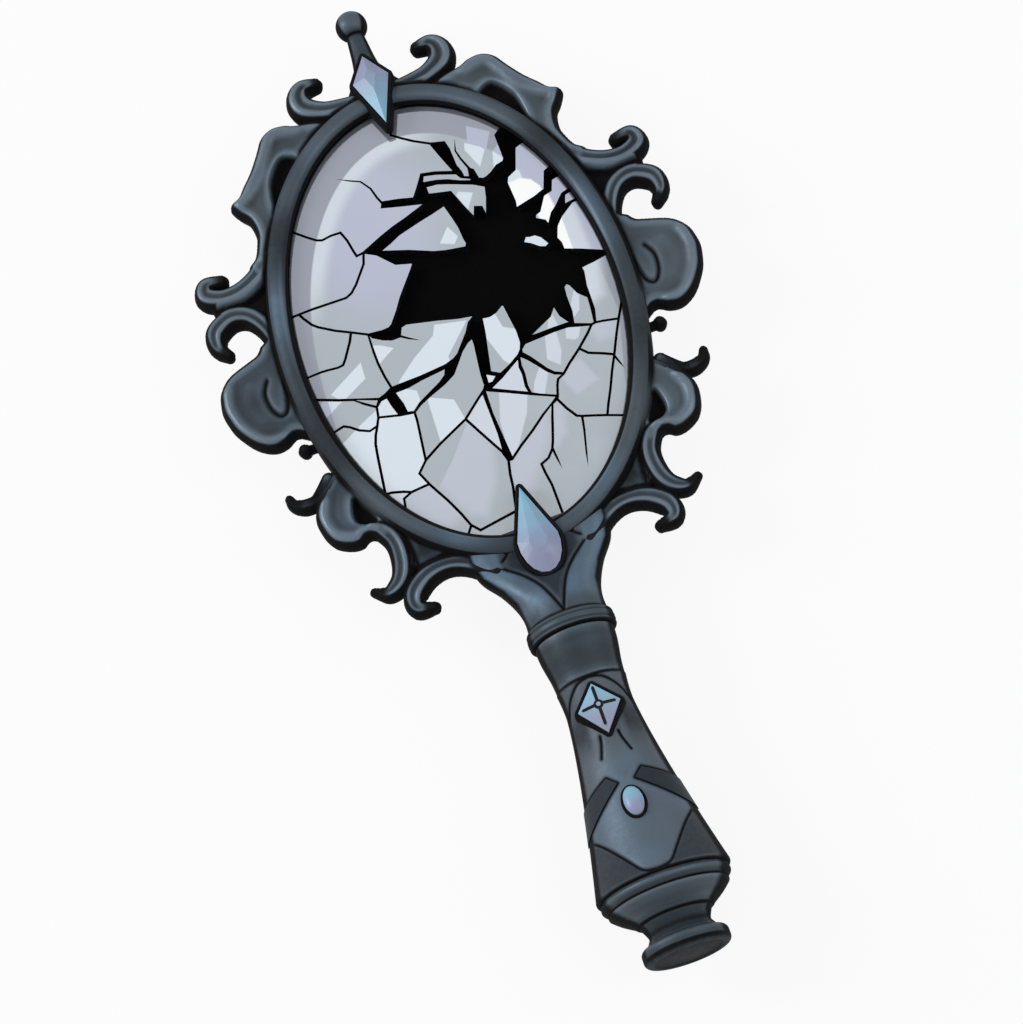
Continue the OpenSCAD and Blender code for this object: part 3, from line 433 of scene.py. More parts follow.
def addRing():
    # a softly rounded band, highest nearer the glass; then its outer wall, its foot and the rebate
    look = ringLook
    crown = smoothLine([[0.02, lipZ + 0.7], [0.25, crestZ - 1.5], [1.0, crestZ - 0.45], [2.3, crestZ],
                        [3.9, crestZ - 0.35], [5.1, crestZ - 1.3], [5.75, crestZ - 2.3],
                        [ringWidth, crestZ - 3.2]], 7)
    section = np.vstack([[[0.02, lipZ]], crown, [[ringWidth, baseZ + 0.3]], [[ringWidth - 0.3, baseZ]],
                         [[rebateIn, baseZ]], [[rebateIn, lipZ]]])
    section = densely(np.vstack([section, section[:1]]), look["grain"])[:-1]
    n, m = look["stations"], len(section)
    t = np.linspace(0, 2 * np.pi, n, endpoint=False)[:, None]
    out, high = section[:, 0][None, :], section[:, 1][None, :]
    points = np.stack([(openA + out) * np.cos(t), (openB + out) * np.sin(t), high + 0 * t], -1)
    i, j = np.meshgrid(np.arange(n), np.arange(m), indexing="ij")
    i2, j2 = (i + 1) % n, (j + 1) % m
    faces = np.stack([i * m + j, i * m + j2, i2 * m + j2, i2 * m + j], -1).reshape(-1, 4)
    turn = np.degrees(t)
    # bright and dusk: the stretches of painted bluish and of painted dark reflection
    bright = lobes(turn, look["blueAt"])
    dusk = np.maximum(lobes(turn, look["darkAt"]), lobes(turn, look["leftDarkAt"]) * (np.cos(t) < 0))
    lined = 1 - lobes(turn, look["joinAt"])
    # the painted shade on the inner edge stands for the shadowed inner wall and the gap to the glass; it is
    # broader at the foot, where the wall below it doesn't show
    inner = look["innerLine"] + look["footLine"] * ease(-np.sin(t), -0.5, 0.4)
    # painted shade on the inner edge, along the outer edge except at the joins, and on the outer wall
    walls = np.maximum.reduce([1 - ease(out, inner - look["softness"], inner + look["softness"]),
                               ease(out, look["outerLine"] - 0.3, look["outerLine"] + 0.3) * lined,
                               (high < crestZ - 3.3) + 0 * t])
    dark = np.maximum(walls, dusk)
    # painted bluish reflection across the band, and a painted highlight near its inner side
    blue = bright * np.clip(1.15 - np.abs(out - 2.2) / 3.2, 0, 1)
    glint = 0.5 * groove(out - 1.5, 0.5) * np.clip(bright + 0.15, 0, 1)
    addPiece("ring", points.reshape(-1, 3), faces.tolist(), dict(dark=dark, glint=glint, blue=blue),
             "frame", castSlate)


addRing()
print("ring done")


# the scrolls and leaves round the ring
# the ornament's numbers are for a ring whose middle line has these half axes
designA, designB = 45, 67
# each scroll: the points of its spine, with the half width there
scrolls = dict(
    topScroll=[[6, 68.7, 3.6], [10, 69.3, 3.4], [15, 70.3, 3.5], [19.4, 73, 3.9], [20.2, 76.6, 3.6],
               [18.2, 79.4, 2.8], [14.6, 79.6, 2]],
    sideScrollUp=[[42, 33.5, 3.4], [46, 30, 3.2], [51, 27.6, 3.2], [56, 27.3, 3.2], [60.1, 29.4, 3.3],
                  [59.4, 32.8, 2.6], [55.3, 32.8, 2]],
    sideScrollDown=[[46.3, 9, 2.4], [48.3, 15.5, 2.7], [51.5, 19.9, 2.9], [56, 21.1, 3.1],
                    [60.6, 18.6, 3.2], [61.4, 14.5, 2.5], [59.5, 11.7, 1.7]],
    smallHook=[[45, -31.5, 2.2], [49.3, -35.6, 2], [52.6, -36.2, 2.1], [55.3, -34.9, 1.8],
               [56.2, -32.6, 1.2]],
    lowScrollOut=[[37.5, -47.5, 3], [34.2, -53.5, 2.9], [34, -59.5, 3], [35.8, -64.2, 2.9],
                  [39.6, -66.4, 2.3], [43.1, -64.6, 1.3]],
    lowScrollIn=[[12, -71.5, 3], [18.5, -66.4, 2.8], [24, -64.7, 2.7], [29.5, -65.8, 3],
                 [33.7, -69.3, 3.1], [33.9, -72.9, 2.6], [30, -73.8, 1.6]])
# each leaf: its outline, its height, the width of its rounded edge, and how dark it is between scrolls
leaves = dict(
    upperLeaf=([[12.5, 65], [17.5, 68.2], [23.5, 69.6], [26, 70.7], [30, 71], [33.5, 69], [36, 65],
                [39, 60.5], [42, 57], [44, 54.5], [46.3, 53.3], [47, 51.5], [45.5, 48.7], [43.5, 46],
                [42.8, 42], [43.5, 39], [45, 35.5], [47.5, 32.5], [43, 26], [35, 33], [28, 46],
                [18, 58]], 3.6, 2.6, 0),
    sideWeb=([[38, 32], [49, 29], [57, 28.4], [60, 25], [57.5, 20.4], [51.2, 19.6], [47.6, 7], [41, 8]],
             1.0, 1.2, 0.95),
    ear=([[41, 14], [50, 11.5], [52.5, 9], [55, 8], [60, 6.2], [62.7, 4.4], [64.8, 1.6], [65.5, -1],
          [65.8, -4], [65.3, -7], [64, -11], [61, -15.5], [58, -18], [55, -19], [52, -18.5], [50, -17.3],
          [48.5, -17.2], [41, -19]], 3.0, 3.2, 0),
    lowLobe=([[38, -29], [47, -33], [50.5, -38], [51.5, -41], [51.3, -44], [50.3, -47.5], [48.5, -50],
              [45, -51.8], [42, -52], [39.5, -50.8], [35, -53], [25, -49]], 3.4, 2.6, 0),
    lowWeb=([[39, -43], [36.3, -50], [32.5, -56], [33, -62.5], [28, -63.5], [22, -62.8], [16, -66],
             [10, -71], [-1, -73], [-1, -60], [16, -56], [30, -42]], 2.5, 1.8, 0.55))
# hollows with a black floor
pockets = [[[26, 59.5], [30, 61], [34, 55.8], [35.1, 52], [35.5, 48], [36, 45.5], [32.5, 51.5],
            [30, 53.5], [26.5, 57]],
           [[40.5, -39], [41.8, -43], [41, -46], [36.5, -47.2], [39, -41.5]]]
# ridges that stand up from the leaves, each with its width, its height and the strength of the painted
# highlight along it
ridges = [([[24, 66.5], [30, 67.4], [33.4, 63], [36.2, 57.6], [40.5, 53.6], [44, 51.2]], 1.5, 0.8, 0.6),
          ([[62.4, 1], [63, -4], [61.4, -10], [57.5, -15.2], [53, -16.6]], 1.6, 0.7, 0.7),
          ([[38, -48.4], [43, -48.8], [47.2, -46.6], [48.6, -42.5], [47.4, -37.5]], 1.3, 0.7, 0.55),
          ([[57, 0], [59, -5], [57, -10]], 2.6, 0.5, 0)]
# lines cut into the leaves and webs
cuts = [[[52, 0.5], [53.6, -3], [53.2, -7.5], [51.4, -10.4], [49.4, -9.6], [48.3, -6.5], [47.4, -2]],
        [[41, 33], [44.5, 27], [48, 24.5], [51, 23.8]],
        [[30.5, -62], [31, -55], [33.8, -49.5], [38.6, -47], [41, -45]],
        [[8, -62], [14, -60.6], [20, -57.6]], [[10, -64.2], [14, -63.2], [18, -61.6]],
        [[8, -66], [8.6, -68], [10.4, -69.6]], [[16, 66], [20, 64.2], [24, 60.5]]]
ornamentLook = dict(step=0.34, under=3.4, cutWidth=0.5, cutDepth=1.1, darkRim=1.05, hollowReach=4,
                    scrollTop=4.2, scrollArch=1.35, channelDepth=0.34, channelWidth=0.3, thinAt=2.6,
                    beadAt=(48.4, -21.4), beadRadius=1.9, beadArch=1.3, stemHalf=1.1)


def onRing(points):
    # moves a point out or in with the real ring, by as much as its middle line differs in that direction
    p = np.array(points, float)
    t = np.arctan2(p[:, 1] / designB, p[:, 0] / designA)
    p[:, 0] += (openA + ringWidth / 2 - designA) * np.cos(t)
    p[:, 1] += (openB + ringWidth / 2 - designB) * np.sin(t)
    return p


def ornamentShape(x, y):
    # the edge distance is the least of all the shapes', and the height is the greatest of theirs:
    # a scroll is half round with a channel down its back, a leaf is a pillow with a raised border
    look = ornamentLook
    edge = np.full(x.shape, 1e3)
    top = np.zeros(x.shape)
    channel = np.zeros(x.shape)
    outline = np.zeros(x.shape)
    for spine in scrolls.values():
        line = smoothLine(onRing(spine), 8)
        far, along, side = lineDistance(x, y, line)
        k = along * (len(line) - 1)
        wide = np.interp(k, np.arange(len(line)), line[:, 2])
        across = np.clip(far / wide, 0, 1)
        fade = ease(along, 1.0, 0.8) * ease(along, 0.0, 0.12)
        dip = fade * groove(across * side - 0.12, look["channelWidth"])
        height = np.minimum(look["scrollTop"], look["scrollArch"] * wide) * np.sqrt(1 - across**2)
        height = height * (1 - look["channelDepth"] * dip)
        edge = np.minimum(edge, far - wide)
        channel = np.where(height > top, dip, channel)
        outline = np.maximum(outline, groove(far - wide, 0.45) * ease(along, 0.1, 0.25))
        thin = ease(wide, look["thinAt"], look["thinAt"] - 0.7)
        outline = np.maximum(outline, 0.92 * thin * (far < wide))
        top = np.maximum(top, height)
    beadX, beadY = look["beadAt"]
    radius, half = look["beadRadius"], look["stemHalf"]
    bead = np.hypot(x - onRing([look["beadAt"]])[0, 0], y - beadY)
    edge = np.minimum(edge, bead - radius)
    top = np.maximum(top, look["beadArch"] * np.sqrt(np.maximum(radius**2 - bead**2, 0)))
    stem = np.maximum(np.abs(y - beadY) - half, x - beadX)
    edge = np.minimum(edge, stem)
    top = np.maximum(top, np.where(stem < 0, half, 0))
    web = np.zeros(x.shape)
    for corners, high, rounding, gloom in leaves.values():
        gap = outlineDistance(x, y, smoothLine(onRing(corners), 4, closed=True))
        deep = np.clip(-gap, 0, None)
        pillow = np.sqrt(1 - (1 - np.clip(deep / rounding, 0, 1))**2)
        height = high * pillow * (1 - 0.22 * ease(deep, 1.6, 5))
        edge = np.minimum(edge, gap)
        channel = np.where(height > top, 0, channel)
        web = np.where((height > top) & (gap < 0), gloom, np.where(height < top, web, 0))
        top = np.maximum(top, height)
    streak = np.zeros(x.shape)
    for line, wide, high, paintedHighlight in ridges:
        far = lineDistance(x, y, smoothLine(onRing(line), 6))[0]
        top = top + high * groove(far, wide) * ease(-edge, 0.2, 1.5)
        streak = np.maximum(streak, paintedHighlight * groove(far, 0.75 * wide))
    cut = np.zeros(x.shape)
    for line in cuts:
        cut = np.maximum(cut, groove(lineDistance(x, y, smoothLine(onRing(line), 6))[0], look["cutWidth"]))
    hole = np.zeros(x.shape)
    for corners in pockets:
        gap = outlineDistance(x, y, smoothLine(onRing(corners), 4, closed=True))
        hole = np.maximum(hole, ease(gap, 0.5, -0.4))
    top = top * (1 - hole) + 0.1 * hole
    top = np.maximum(top - look["cutDepth"] * cut, 0.1)
    # the ornament starts inside the ring's wall
    edge = np.maximum(edge, -ovalDistance(x, y, outerA - 1.3, outerB - 1.3))
    edge = np.maximum(edge, -0.3 - x)
    fade = ease(-edge, 0, 0.9)
    top = top * (1 - fade) + blurred(top, 1) * fade
    soft = blurred(top, look["hollowReach"])
    hollow = np.clip((soft - top) / 0.55, 0, 1) * ease(-edge, 0.3, 1.2)
    raised = np.clip((top - soft) / 0.5, 0, 1) * ease(-edge, 0.6, 1.4)
    border = 1 - ease(-edge, look["darkRim"], look["darkRim"] + 0.8)
    turn = np.degrees(np.arctan2(y / outerB, x / outerA))
    nearRing = groove(ovalDistance(x, y, outerA, outerB), 0.9) * (1 - lobes(turn, ringLook["joinAt"]))
    foot = ease(y, -57, -61) * ease(x, 19.5, 17)  # where the shoulder takes over
    button = 0.9 * ease(bead, radius + 0.4, radius)
    # dark: patina in the hollows, cuts, channels and pockets, and painted shade along the edges, the scroll
    # outlines and where the ornament meets the ring
    dark = np.maximum.reduce([hollow * 0.85, border, hole, cut, channel * 0.45, nearRing, outline, web,
                              button, 0.8 * foot])
    # glint: painted highlight on raised parts and ridges; blue: painted bluish sheen on raised parts
    glint = np.clip(np.maximum(raised * 0.75, streak), 0, 1) * (1 - foot)
    waves = 0.2 * np.sin(x * 0.21 + 1.3) * np.sin(y * 0.17)
    blue = np.clip(0.05 + 0.5 * raised + waves, 0, 1) * ease(top, 0.8, 3)
    deepness = np.clip(-edge / 2.0, 0, 1)
    under = look["under"] * np.sqrt(1 - (1 - deepness)**2)
    return edge, top, under, dict(dark=np.clip(dark, 0, 1), glint=glint, blue=blue)


for side, mirrored in (("right", False), ("left", True)):
    addRelief("scrollwork_" + side, (-0.6, -78), (frameHigh[0] + 0.4, 84), ornamentLook["step"],
              ornamentShape, axisZ, "frame", castSlate, mirrored)
print("scrollwork done")


# the turned and lofted pieces, from the crown down
def revolve(profile, sides):
    # a profile of (place along the handle, radius), turned about the handle's axis; theta 0 is on top
    t = np.linspace(0, 2 * np.pi, sides, endpoint=False)
    y, r = np.array(profile, float).T
    return np.stack([r[:, None] * np.sin(t), y[:, None] + 0 * t, axisZ + r[:, None] * np.cos(t)], -1)


def arc(centreY, centreR, radius, start, stop, count):
    # an arc of a turned profile: angle 0 points away from the axis, 90 towards +Y
    t = np.radians(np.linspace(start, stop, count))
    return np.stack([centreY + radius * np.sin(t), centreR + radius * np.cos(t)], -1)


def addTurned(name, profile, node, material, darkOf, blue, sides=128, step=0.2, joints=()):
    # the profile turned about the handle's axis; it is dark where its radius is under its own rolling mean,
    # has a painted highlight where it is over it, painted shade from darkOf, and black along the joints to
    # its neighbours
    line = densely(profile, step)
    rings = revolve(line, sides)
    if line[0, 0] > line[-1, 0]:
        rings = rings[::-1]
        line = line[::-1]
    rings = rings[:, ::-1]
    points, faces = cappedTube(rings)
    radius = line[:, 1]
    wide = 7  # steps to either side in the rolling mean
    window = np.ones(2 * wide + 1) / (2 * wide + 1)
    mean = np.convolve(np.pad(radius, wide, mode="edge"), window, mode="valid")
    hollow = np.clip((mean - radius) / 0.35, 0, 1)
    raised = np.clip((radius - mean) / 0.5, 0, 1)
    theta = np.linspace(0, 2 * np.pi, sides, endpoint=False)[::-1][None, :]
    y = line[:, :1] + 0 * theta
    dark = np.maximum(hollow[:, None], darkOf(y, theta))
    for at in joints:
        dark = np.maximum(dark, groove(y - at, 0.42))
    tones = dict(dark=dark, glint=0.7 * raised[:, None] + 0 * y, blue=blue + 0 * y)
    return addPiece(name, points, faces, withPoles(tones), node, material)


finialLook = dict(ballRadius=4.35, blue=0.15, sides=64)


def addFinial():
    look = finialLook
    ballY = frameHigh[1] - 0.03 - look["ballRadius"]
    stem = smoothLine([[outerB - 0.5, 5.2], [outerB + 4, 4.7], [outerB + 8, 3.9], [outerB + 12, 3.2],
                       [ballY - 6, 2.7], [ballY - 3.6, 2.45]], 8)
    profile = np.vstack([[[outerB - 0.5, 0.01]], stem, arc(ballY, 0, look["ballRadius"], -55, 89.5, 32)])
    # the lambda paints shade along the finial's sides
    addTurned("finial", profile, "frame", castSlate,
              lambda y, t: ease(np.abs(np.sin(t)), 0.55, 0.8) + 0 * y, look["blue"], look["sides"], 0.35)


addFinial()


def loft(name, stations, node, material, engrave, sides):
    # cross sections along the handle: (place, half width, half height, squareness) with the outline
    # |x/a|^n + |z/b|^n = 1; engrave gives the depth of the lines cut into the upper side, and the tones
    y, a, b, n = np.array(stations, float).T
    t = np.linspace(0, 2 * np.pi, sides, endpoint=False)[::-1]
    s, c = np.sin(t), np.cos(t)
    grow = (np.abs(s)**n[:, None] + np.abs(c)**n[:, None])**(-1 / n[:, None])
    x = a[:, None] * s * grow
    z = b[:, None] * c * grow
    depth, tones = engrave(x, y[:, None] + 0 * x, c[None, :] + 0 * x)
    z = z - depth
    if y[0] > y[-1]:
        x, z, y = x[::-1], z[::-1], y[::-1]
        tones = {k: v[::-1] for k, v in tones.items()}
    rings = np.stack([x, y[:, None] + 0 * x, axisZ + z], -1)
    points, faces = cappedTube(rings)
    return addPiece(name, points, faces, withPoles(tones), node, material)


crownLook = dict(rows=46, sides=90, halfWidth=8.2, taper=4.9, halfHeight=3.75, blue=0.2)


def crownStations():
    # the crown's foot: a block that carries the finial and the crown stone, and narrows to the finial
    look = crownLook
    y = np.linspace(outerB - 6, outerB + 9.2, look["rows"])
    t = (y - y[0]) / (y[-1] - y[0])
    return np.stack([y, look["halfWidth"] - look["taper"] * ease(t, 0.35, 1.0),
                     look["halfHeight"] - 0.2 * t, 3.6 - 1.4 * ease(t, 0.5, 1)], -1)


def crownTones(x, y, up):
    # painted shade along the sides and underneath
    dark = 0.9 * ease(np.abs(x), 4.2, 6.6) + 0.6 * ease(-up, 0, 0.4)
    return 0 * x, dict(dark=dark, glint=0 * x, blue=crownLook["blue"] + 0 * x)


loft("crown_foot", crownStations(), "frame", castSlate, crownTones, crownLook["sides"])


# shoulder: from the ring's foot to the socket of the handle
shoulderCuts = [[[10.5, -71.8], [6.4, -75.5], [3.2, -80.5], [0.3, -88.6]],
                [[8, -66.5], [8.8, -68.4], [10.4, -69.8]],
                [[0.3, -88.6], [-0.3, -90.5]]]
shoulderLook = dict(rows=120, sides=240, cutWidth=0.42, cutDepth=0.75, blue=0.95)


def shoulderStations():
    y = np.linspace(-outerB + 7, handleY + 0.02, shoulderLook["rows"])
    t = (y[0] - y) / (y[0] - y[-1])
    side = smoothLine([[handleY, 10.45], [handleY + 4, 10.3], [-82, 11.2], [-77, 13.6], [-72, 17.2],
                       [-67, 18.6], [-62, 18.9]], 8)
    half = np.interp(y, side[:, 0], side[:, 1])
    high = 4.1 + (10.4 - 4.1) * ease(t, 0.32, 0.94)
    return np.stack([y, half, high, 2 + 2.2 * ease(t, 0.85, 0.2)], -1)


def shoulderTones(x, y, up):
    # dark along the cuts, painted shade along the outer edges and underneath; a painted bluish sheen and
    # highlight on the two panels beside the stone
    far = np.full(x.shape, 1e3)
    for line in shoulderCuts:
        far = np.minimum(far, lineDistance(np.abs(x), y, smoothLine(line, 6))[0])
    cut = groove(far, shoulderLook["cutWidth"]) * ease(up, 0.0, 0.2)
    reach = np.interp(y, [-90, -82, -77, -72, -67], [10.4, 11.2, 13.6, 17.2, 18.6])
    inner = np.interp(y, [-89, -80.5, -75.5, -71.8], [0.3, 3.2, 6.4, 10.5])
    panel = ease(np.abs(x), inner, inner + 1.0) * ease(y, -88.5, -84) * ease(y, -62, -68)
    border = ease(np.abs(x), reach - 2.0, reach - 0.5)
    rim = 0.75 * groove(y - (handleY + 0.3), 0.5)
    shade = 0.5 * ease(inner - np.abs(x), 0.2, 2.0) * ease(y, -60, -70)
    dark = np.maximum.reduce([cut, border, 0.65 * ease(-up, -0.05, 0.3), rim, shade])
    glint = 0.35 * panel * groove(np.abs(x) - reach + 3.2, 0.9)
    blue = shoulderLook["blue"] * panel + 0.1
    return shoulderLook["cutDepth"] * cut, dict(dark=dark, glint=glint, blue=blue)


loft("shoulder", shoulderStations(), "frame", castSlate, shoulderTones,
     shoulderLook["sides"])
print("crown foot and shoulder done")


# settings of the crown stone and the drop stone
crownY, dropY = outerB + 2, -outerB + 1
crownStone = np.array([[0, 7.5], [5, 0], [0, -14], [-5, 0]]) + [0, crownY]
# the drop's outline: a point above, and an arc that is longer below than at its sides
dropTurn = np.radians(np.arange(10, -191, -10))
dropArc = np.stack([5.3 * np.cos(dropTurn), np.where(dropTurn < 0, 8.4, 5.3) * np.sin(dropTurn)], -1)
dropStone = np.vstack([[[0, 15.5]], dropArc]) + [0, dropY]
bigSeat = dict(step=0.22, rim=1.3, floor=1.95, wall=3.1, ridgeAt=0.62, ridgeHalf=0.68, lip=0.05, corner=0.25,
               foot=2.6, footCorner=0.3, floorDark=1.0, rimDark=0.94, highlightLift=0.5, shine=0.2, shineWidth=0.22,
               blue=0.3)


def seatShape(stone, look):
    # a flat floor under the stone and a half-round rim along its outline; the foot goes into the metal
    def shape(x, y):
        gap = outlineDistance(x, y, stone)
        edge = gap - look["rim"]
        ridge = np.sqrt(np.clip(1 - ((gap - look["ridgeAt"]) / look["ridgeHalf"])**2, 0, 1))
        top = look["floor"] + (look["wall"] - look["floor"]) * ridge * (gap >= -look["lip"])
        top = np.where(edge > -look["corner"], top * np.sqrt(np.clip(-edge / look["corner"], 0, 1)), top)
        under = look["foot"] * np.sqrt(np.clip(-edge / look["footCorner"], 0, 1))
        # a painted highlight along the rim's ridge, which also lifts the dark there
        glint = look["shine"] * groove(gap - look["ridgeAt"], look["shineWidth"])
        dark = np.where(gap < 0.2, look["floorDark"], look["rimDark"]) - look["highlightLift"] * glint
        return edge, top, under, dict(dark=dark, glint=glint, blue=look["blue"] + 0 * x)
    return shape


for name, stone in (("crown_setting", crownStone), ("drop_setting", dropStone)):
    addRelief(name, stone.min(0) - 2.2, stone.max(0) + 2.2, bigSeat["step"], seatShape(stone, bigSeat),
              settingTop - 3.05, "frame", castSlate)
print("settings done")


# the turned pieces of the handle
sleeveLow, sleeveHigh = boxOf("neck_sleeve")
bandLow, bandHigh = boxOf("end_band")
footLow, footHigh = boxOf("grip_foot")
neckLow, neckHigh = boxOf("pommel_neck")
capLow, capHigh = boxOf("pommel_cap")
swellR = (gripHigh[0] - gripLow[0]) / 2
waistR = 8.6


def halfWidth(low, high):
    # a turned piece's radius, held just inside its box
    return (high[0] - low[0]) / 2 - 0.02


def shadeSides(y, t):
    # painted shade along the sides and underneath
    return np.maximum(ease(np.abs(np.sin(t)), 0.8, 0.94), 0.6 * ease(-np.cos(t), 0.0, 0.35)) + 0 * y


collarLook = dict(blue=0.35, bead=0.6, groove=0.35)


def addCollar():
    # a bead at each end, a groove beside each bead and a flat band between
    top, low = collarHigh[1], collarLow[1]
    r, bead = halfWidth(collarLow, collarHigh), collarLook["bead"]
    inGroove = r - collarLook["groove"]
    profile = np.vstack([[[top, 0.01], [top, r - 1.15]], arc(top - 0.62, r - 0.75, bead, 80, 0, 7),
                         [[top - 1.15, inGroove], [top - 1.5, r - 0.05]],
                         [[low + 1.5, r - 0.05], [low + 1.15, inGroove]],
                         arc(low + 0.62, r - 0.75, bead, 0, -80, 7), [[low, r - 1.15], [low, 0.01]]])
    addTurned("collar", profile, "collar_ring", darkMetal, shadeSides, collarLook["blue"],
              joints=(top, low))


sleeveLook = dict(blue=0.12, step=0.25)


def addSleeve():
    # a slow taper from under the collar to the grip
    top, low = sleeveHigh[1], sleeveLow[1]
    r = halfWidth(sleeveLow, sleeveHigh)
    taper = smoothLine([[top - 0.7, r], [top - 4, r - 0.25], [top - 9, r - 1.1],
                        [low + 0.6, waistR + 0.25]], 8)
    profile = np.vstack([[[top, 0.01], [top, r - 0.5], [top - 0.5, r]], taper,
                         [[low, waistR - 0.1], [low, 0.01]]])
    addTurned("sleeve", profile, "neck_sleeve", darkMetal, shadeSides, sleeveLook["blue"],
              step=sleeveLook["step"], joints=(top, low))


addCollar()
addSleeve()

gripLen = gripHigh[1] - gripLow[1]


def gripRadius(s):
    # a small flare at the top, then a power curve out to the swelling
    flare, flareEnd, power = 0.4, 6, 1.3
    t = np.clip((s - flareEnd) / (gripLen - flareEnd - 1), 0, 1)
    above = waistR + flare * (1 - np.clip(s, 0, flareEnd) / flareEnd)**2
    return np.where(s < flareEnd, above, waistR + (swellR - waistR) * t**power)


def gripSlope(s):
    return math.atan(float(gripRadius(np.array(s + 0.5)) - gripRadius(np.array(s - 0.5))))


# lines cut into the grip, right half; the left half is their mirror image
gripCuts = [[[2.3, -122.8], [2.7, -125], [3.8, -128.4]],
            [[12.2, -147], [9.6, -150.5], [6.4, -155.2], [3.4, -159.2], [0, -160]],
            [[0, -107.4], [3.4, -108.2], [6.6, -111.5], [8.2, -116]]]
bar = np.array([[4.5, -26.7], [2.3, -29], [16, -40.1], [16, -32.2]]) + [0, gripTopY]
# the raised shield in the middle and the darker petal beside its foot
shieldLine = np.array([[-1, -135.5], [3, -133.5], [8.6, -139], [14.5, -143.5], [12.2, -147], [9.6, -150.5],
                       [6.4, -155.2], [3.4, -159.2], [-1, -160]])
petalLine = np.array([[12.6, -146.6], [14.6, -152], [15.6, -160], [2.6, -160.2], [3.4, -159.2],
                      [6.4, -155.2], [9.6, -150.5]])
gripLook = dict(rows=200, sides=300, cutWidth=0.42, cutDepth=0.55, slotDepth=1.0, barLine=0.75)


def gripTones(x, y, up):
    # painted bluish sheen on the shield and above it, dusk on the petals and beside the kite stone, dark in
    # every cut, and painted shade along the sides and underneath
    look = gripLook
    ax = np.abs(x)
    far = np.full(x.shape, 1e3)
    for line in gripCuts:
        far = np.minimum(far, lineDistance(ax, y, smoothLine(line, 6))[0])
    top = ease(up, 0.05, 0.25)
    cut = groove(far, look["cutWidth"]) * top
    barGap = outlineDistance(ax, y, bar)
    slot = ease(barGap, 0.1, -0.1) * top
    barLine = groove(barGap, look["barLine"]) * top
    shield = ease(outlineDistance(ax, y, shieldLine), 0.6, -1.6)
    petal = ease(outlineDistance(ax, y, petalLine), 0.4, -0.9)
    blue = (shield + 0.75 * groove(y + 131, 5) * ease(ax, 8, 2)) * top + 0.2
    dusk = (0.5 * petal + 0.55 * groove(y + 120, 7) * ease(ax, 3.0, 5.5)) * top
    aside = np.sqrt(np.clip(1 - up**2, 0, 1))
    sides = ease(aside, 0.8, 0.94) * ease(up, -0.9, 0) + 0.6 * ease(-up, 0, 0.35)
    joint = groove(y - gripTopY, 0.6) + groove(y - gripTopY + gripLen, 0.6)
    dark = np.maximum.reduce([cut, barLine, dusk, sides, slot, joint])
    return look["cutDepth"] * cut + look["slotDepth"] * slot, dict(dark=dark, glint=0 * x, blue=blue)


def gripStations():
    # round sections down to the end, and three more that round its last millimetre
    s = np.linspace(0, gripLen - 1, gripLook["rows"])
    r = gripRadius(s) - 0.02
    s = np.concatenate([s, [gripLen - 0.7, gripLen - 0.3, gripLen - 0.05]])
    r = np.concatenate([r, [swellR - 0.05, swellR - 0.25, swellR - 0.8]])
    return np.stack([gripTopY - s, r, r, np.full(len(s), 2.0)], -1)


loft("grip_body", gripStations(), "grip", gripMetal, gripTones, gripLook["sides"])


def onGrip(s):
    # moves points to a flat place on top of the grip: x across, y up the handle, z out of the surface
    slope = gripSlope(s)
    sine, cosine = math.sin(slope), math.cos(slope)
    base = np.array([0, gripTopY - s, axisZ + float(gripRadius(np.array(s)))])

    def place(points):
        x, y, z = points.T
        return np.stack([x, y * cosine + z * sine, z * cosine - y * sine], -1) + base
    return place


smallSeat = dict(floor=1.45, lip=0.04, corner=0.2, footCorner=0.25, floorDark=0.96, rimDark=0.96, highlightLift=0.4,
                 shine=0.15, shineWidth=0.2, blue=0.2)
kiteSeat = dict(smallSeat, at=8.8, step=0.2, rim=1.15, wall=2.25, foot=1.9, ridgeAt=0.575, ridgeHalf=0.6325)
budSeat = dict(smallSeat, at=35, step=0.18, rim=0.85, wall=2.0, foot=1.2, ridgeAt=0.425, ridgeHalf=0.4675)
kite = np.array([[0, 6.3], [5.4, 0], [0, -7.2], [-5.4, 0]])
budTurn = np.radians(np.arange(0, 360, 10))
bud = np.stack([2.4 * np.cos(budTurn), 3.84 * np.sin(budTurn)], -1)
for name, stone, seat, low, high in (("kite_setting", kite, kiteSeat, (-9, -11), (9, 10)),
                                     ("bud_setting", bud, budSeat, (-4.5, -6), (4.5, 6))):
    addRelief(name, low, high, seat["step"], seatShape(stone, seat), -1.5,
              "grip", gripMetal, place=onGrip(seat["at"]))
print("grip done")


bandLook = dict(blue=0.3, sides=160)


def addBand():
    # a sloping lip and a half-round bead
    top, low = bandHigh[1], bandLow[1]
    profile = np.vstack([[[top, 0.01], [top, swellR - 1.05], [top - 0.25, swellR - 0.75]],
                         arc((top + low) / 2 + 0.35, swellR - 1.5, 0.88, 55, -60, 9),
                         [[low + 0.3, swellR - 1.75], [low, swellR - 1.9], [low, 0.01]]])
    addTurned("band", profile, "end_band", darkMetal, shadeSides, bandLook["blue"],
              bandLook["sides"], joints=(top, low))


footLook = dict(blue=0.2, sides=160, top=swellR - 1.7, tip=9.5)


def addFoot():
    # a bowl that narrows to the neck
    top, low = footHigh[1], footLow[1]
    r, tip = footLook["top"], footLook["tip"]
    bowl = smoothLine([[top - 0.5, r - 0.08], [top - 2.2, r - 2.0], [low + 0.8, tip + 0.95]], 6)
    profile = np.vstack([[[top, 0.01], [top, r - 0.35], [top - 0.35, r - 0.03]], bowl,
                         [[low + 0.25, tip + 0.4], [low, tip - 0.1], [low, 0.01]]])
    addTurned("foot", profile, "grip_foot", gripMetal, shadeSides, footLook["blue"],
              footLook["sides"], joints=(top, low))


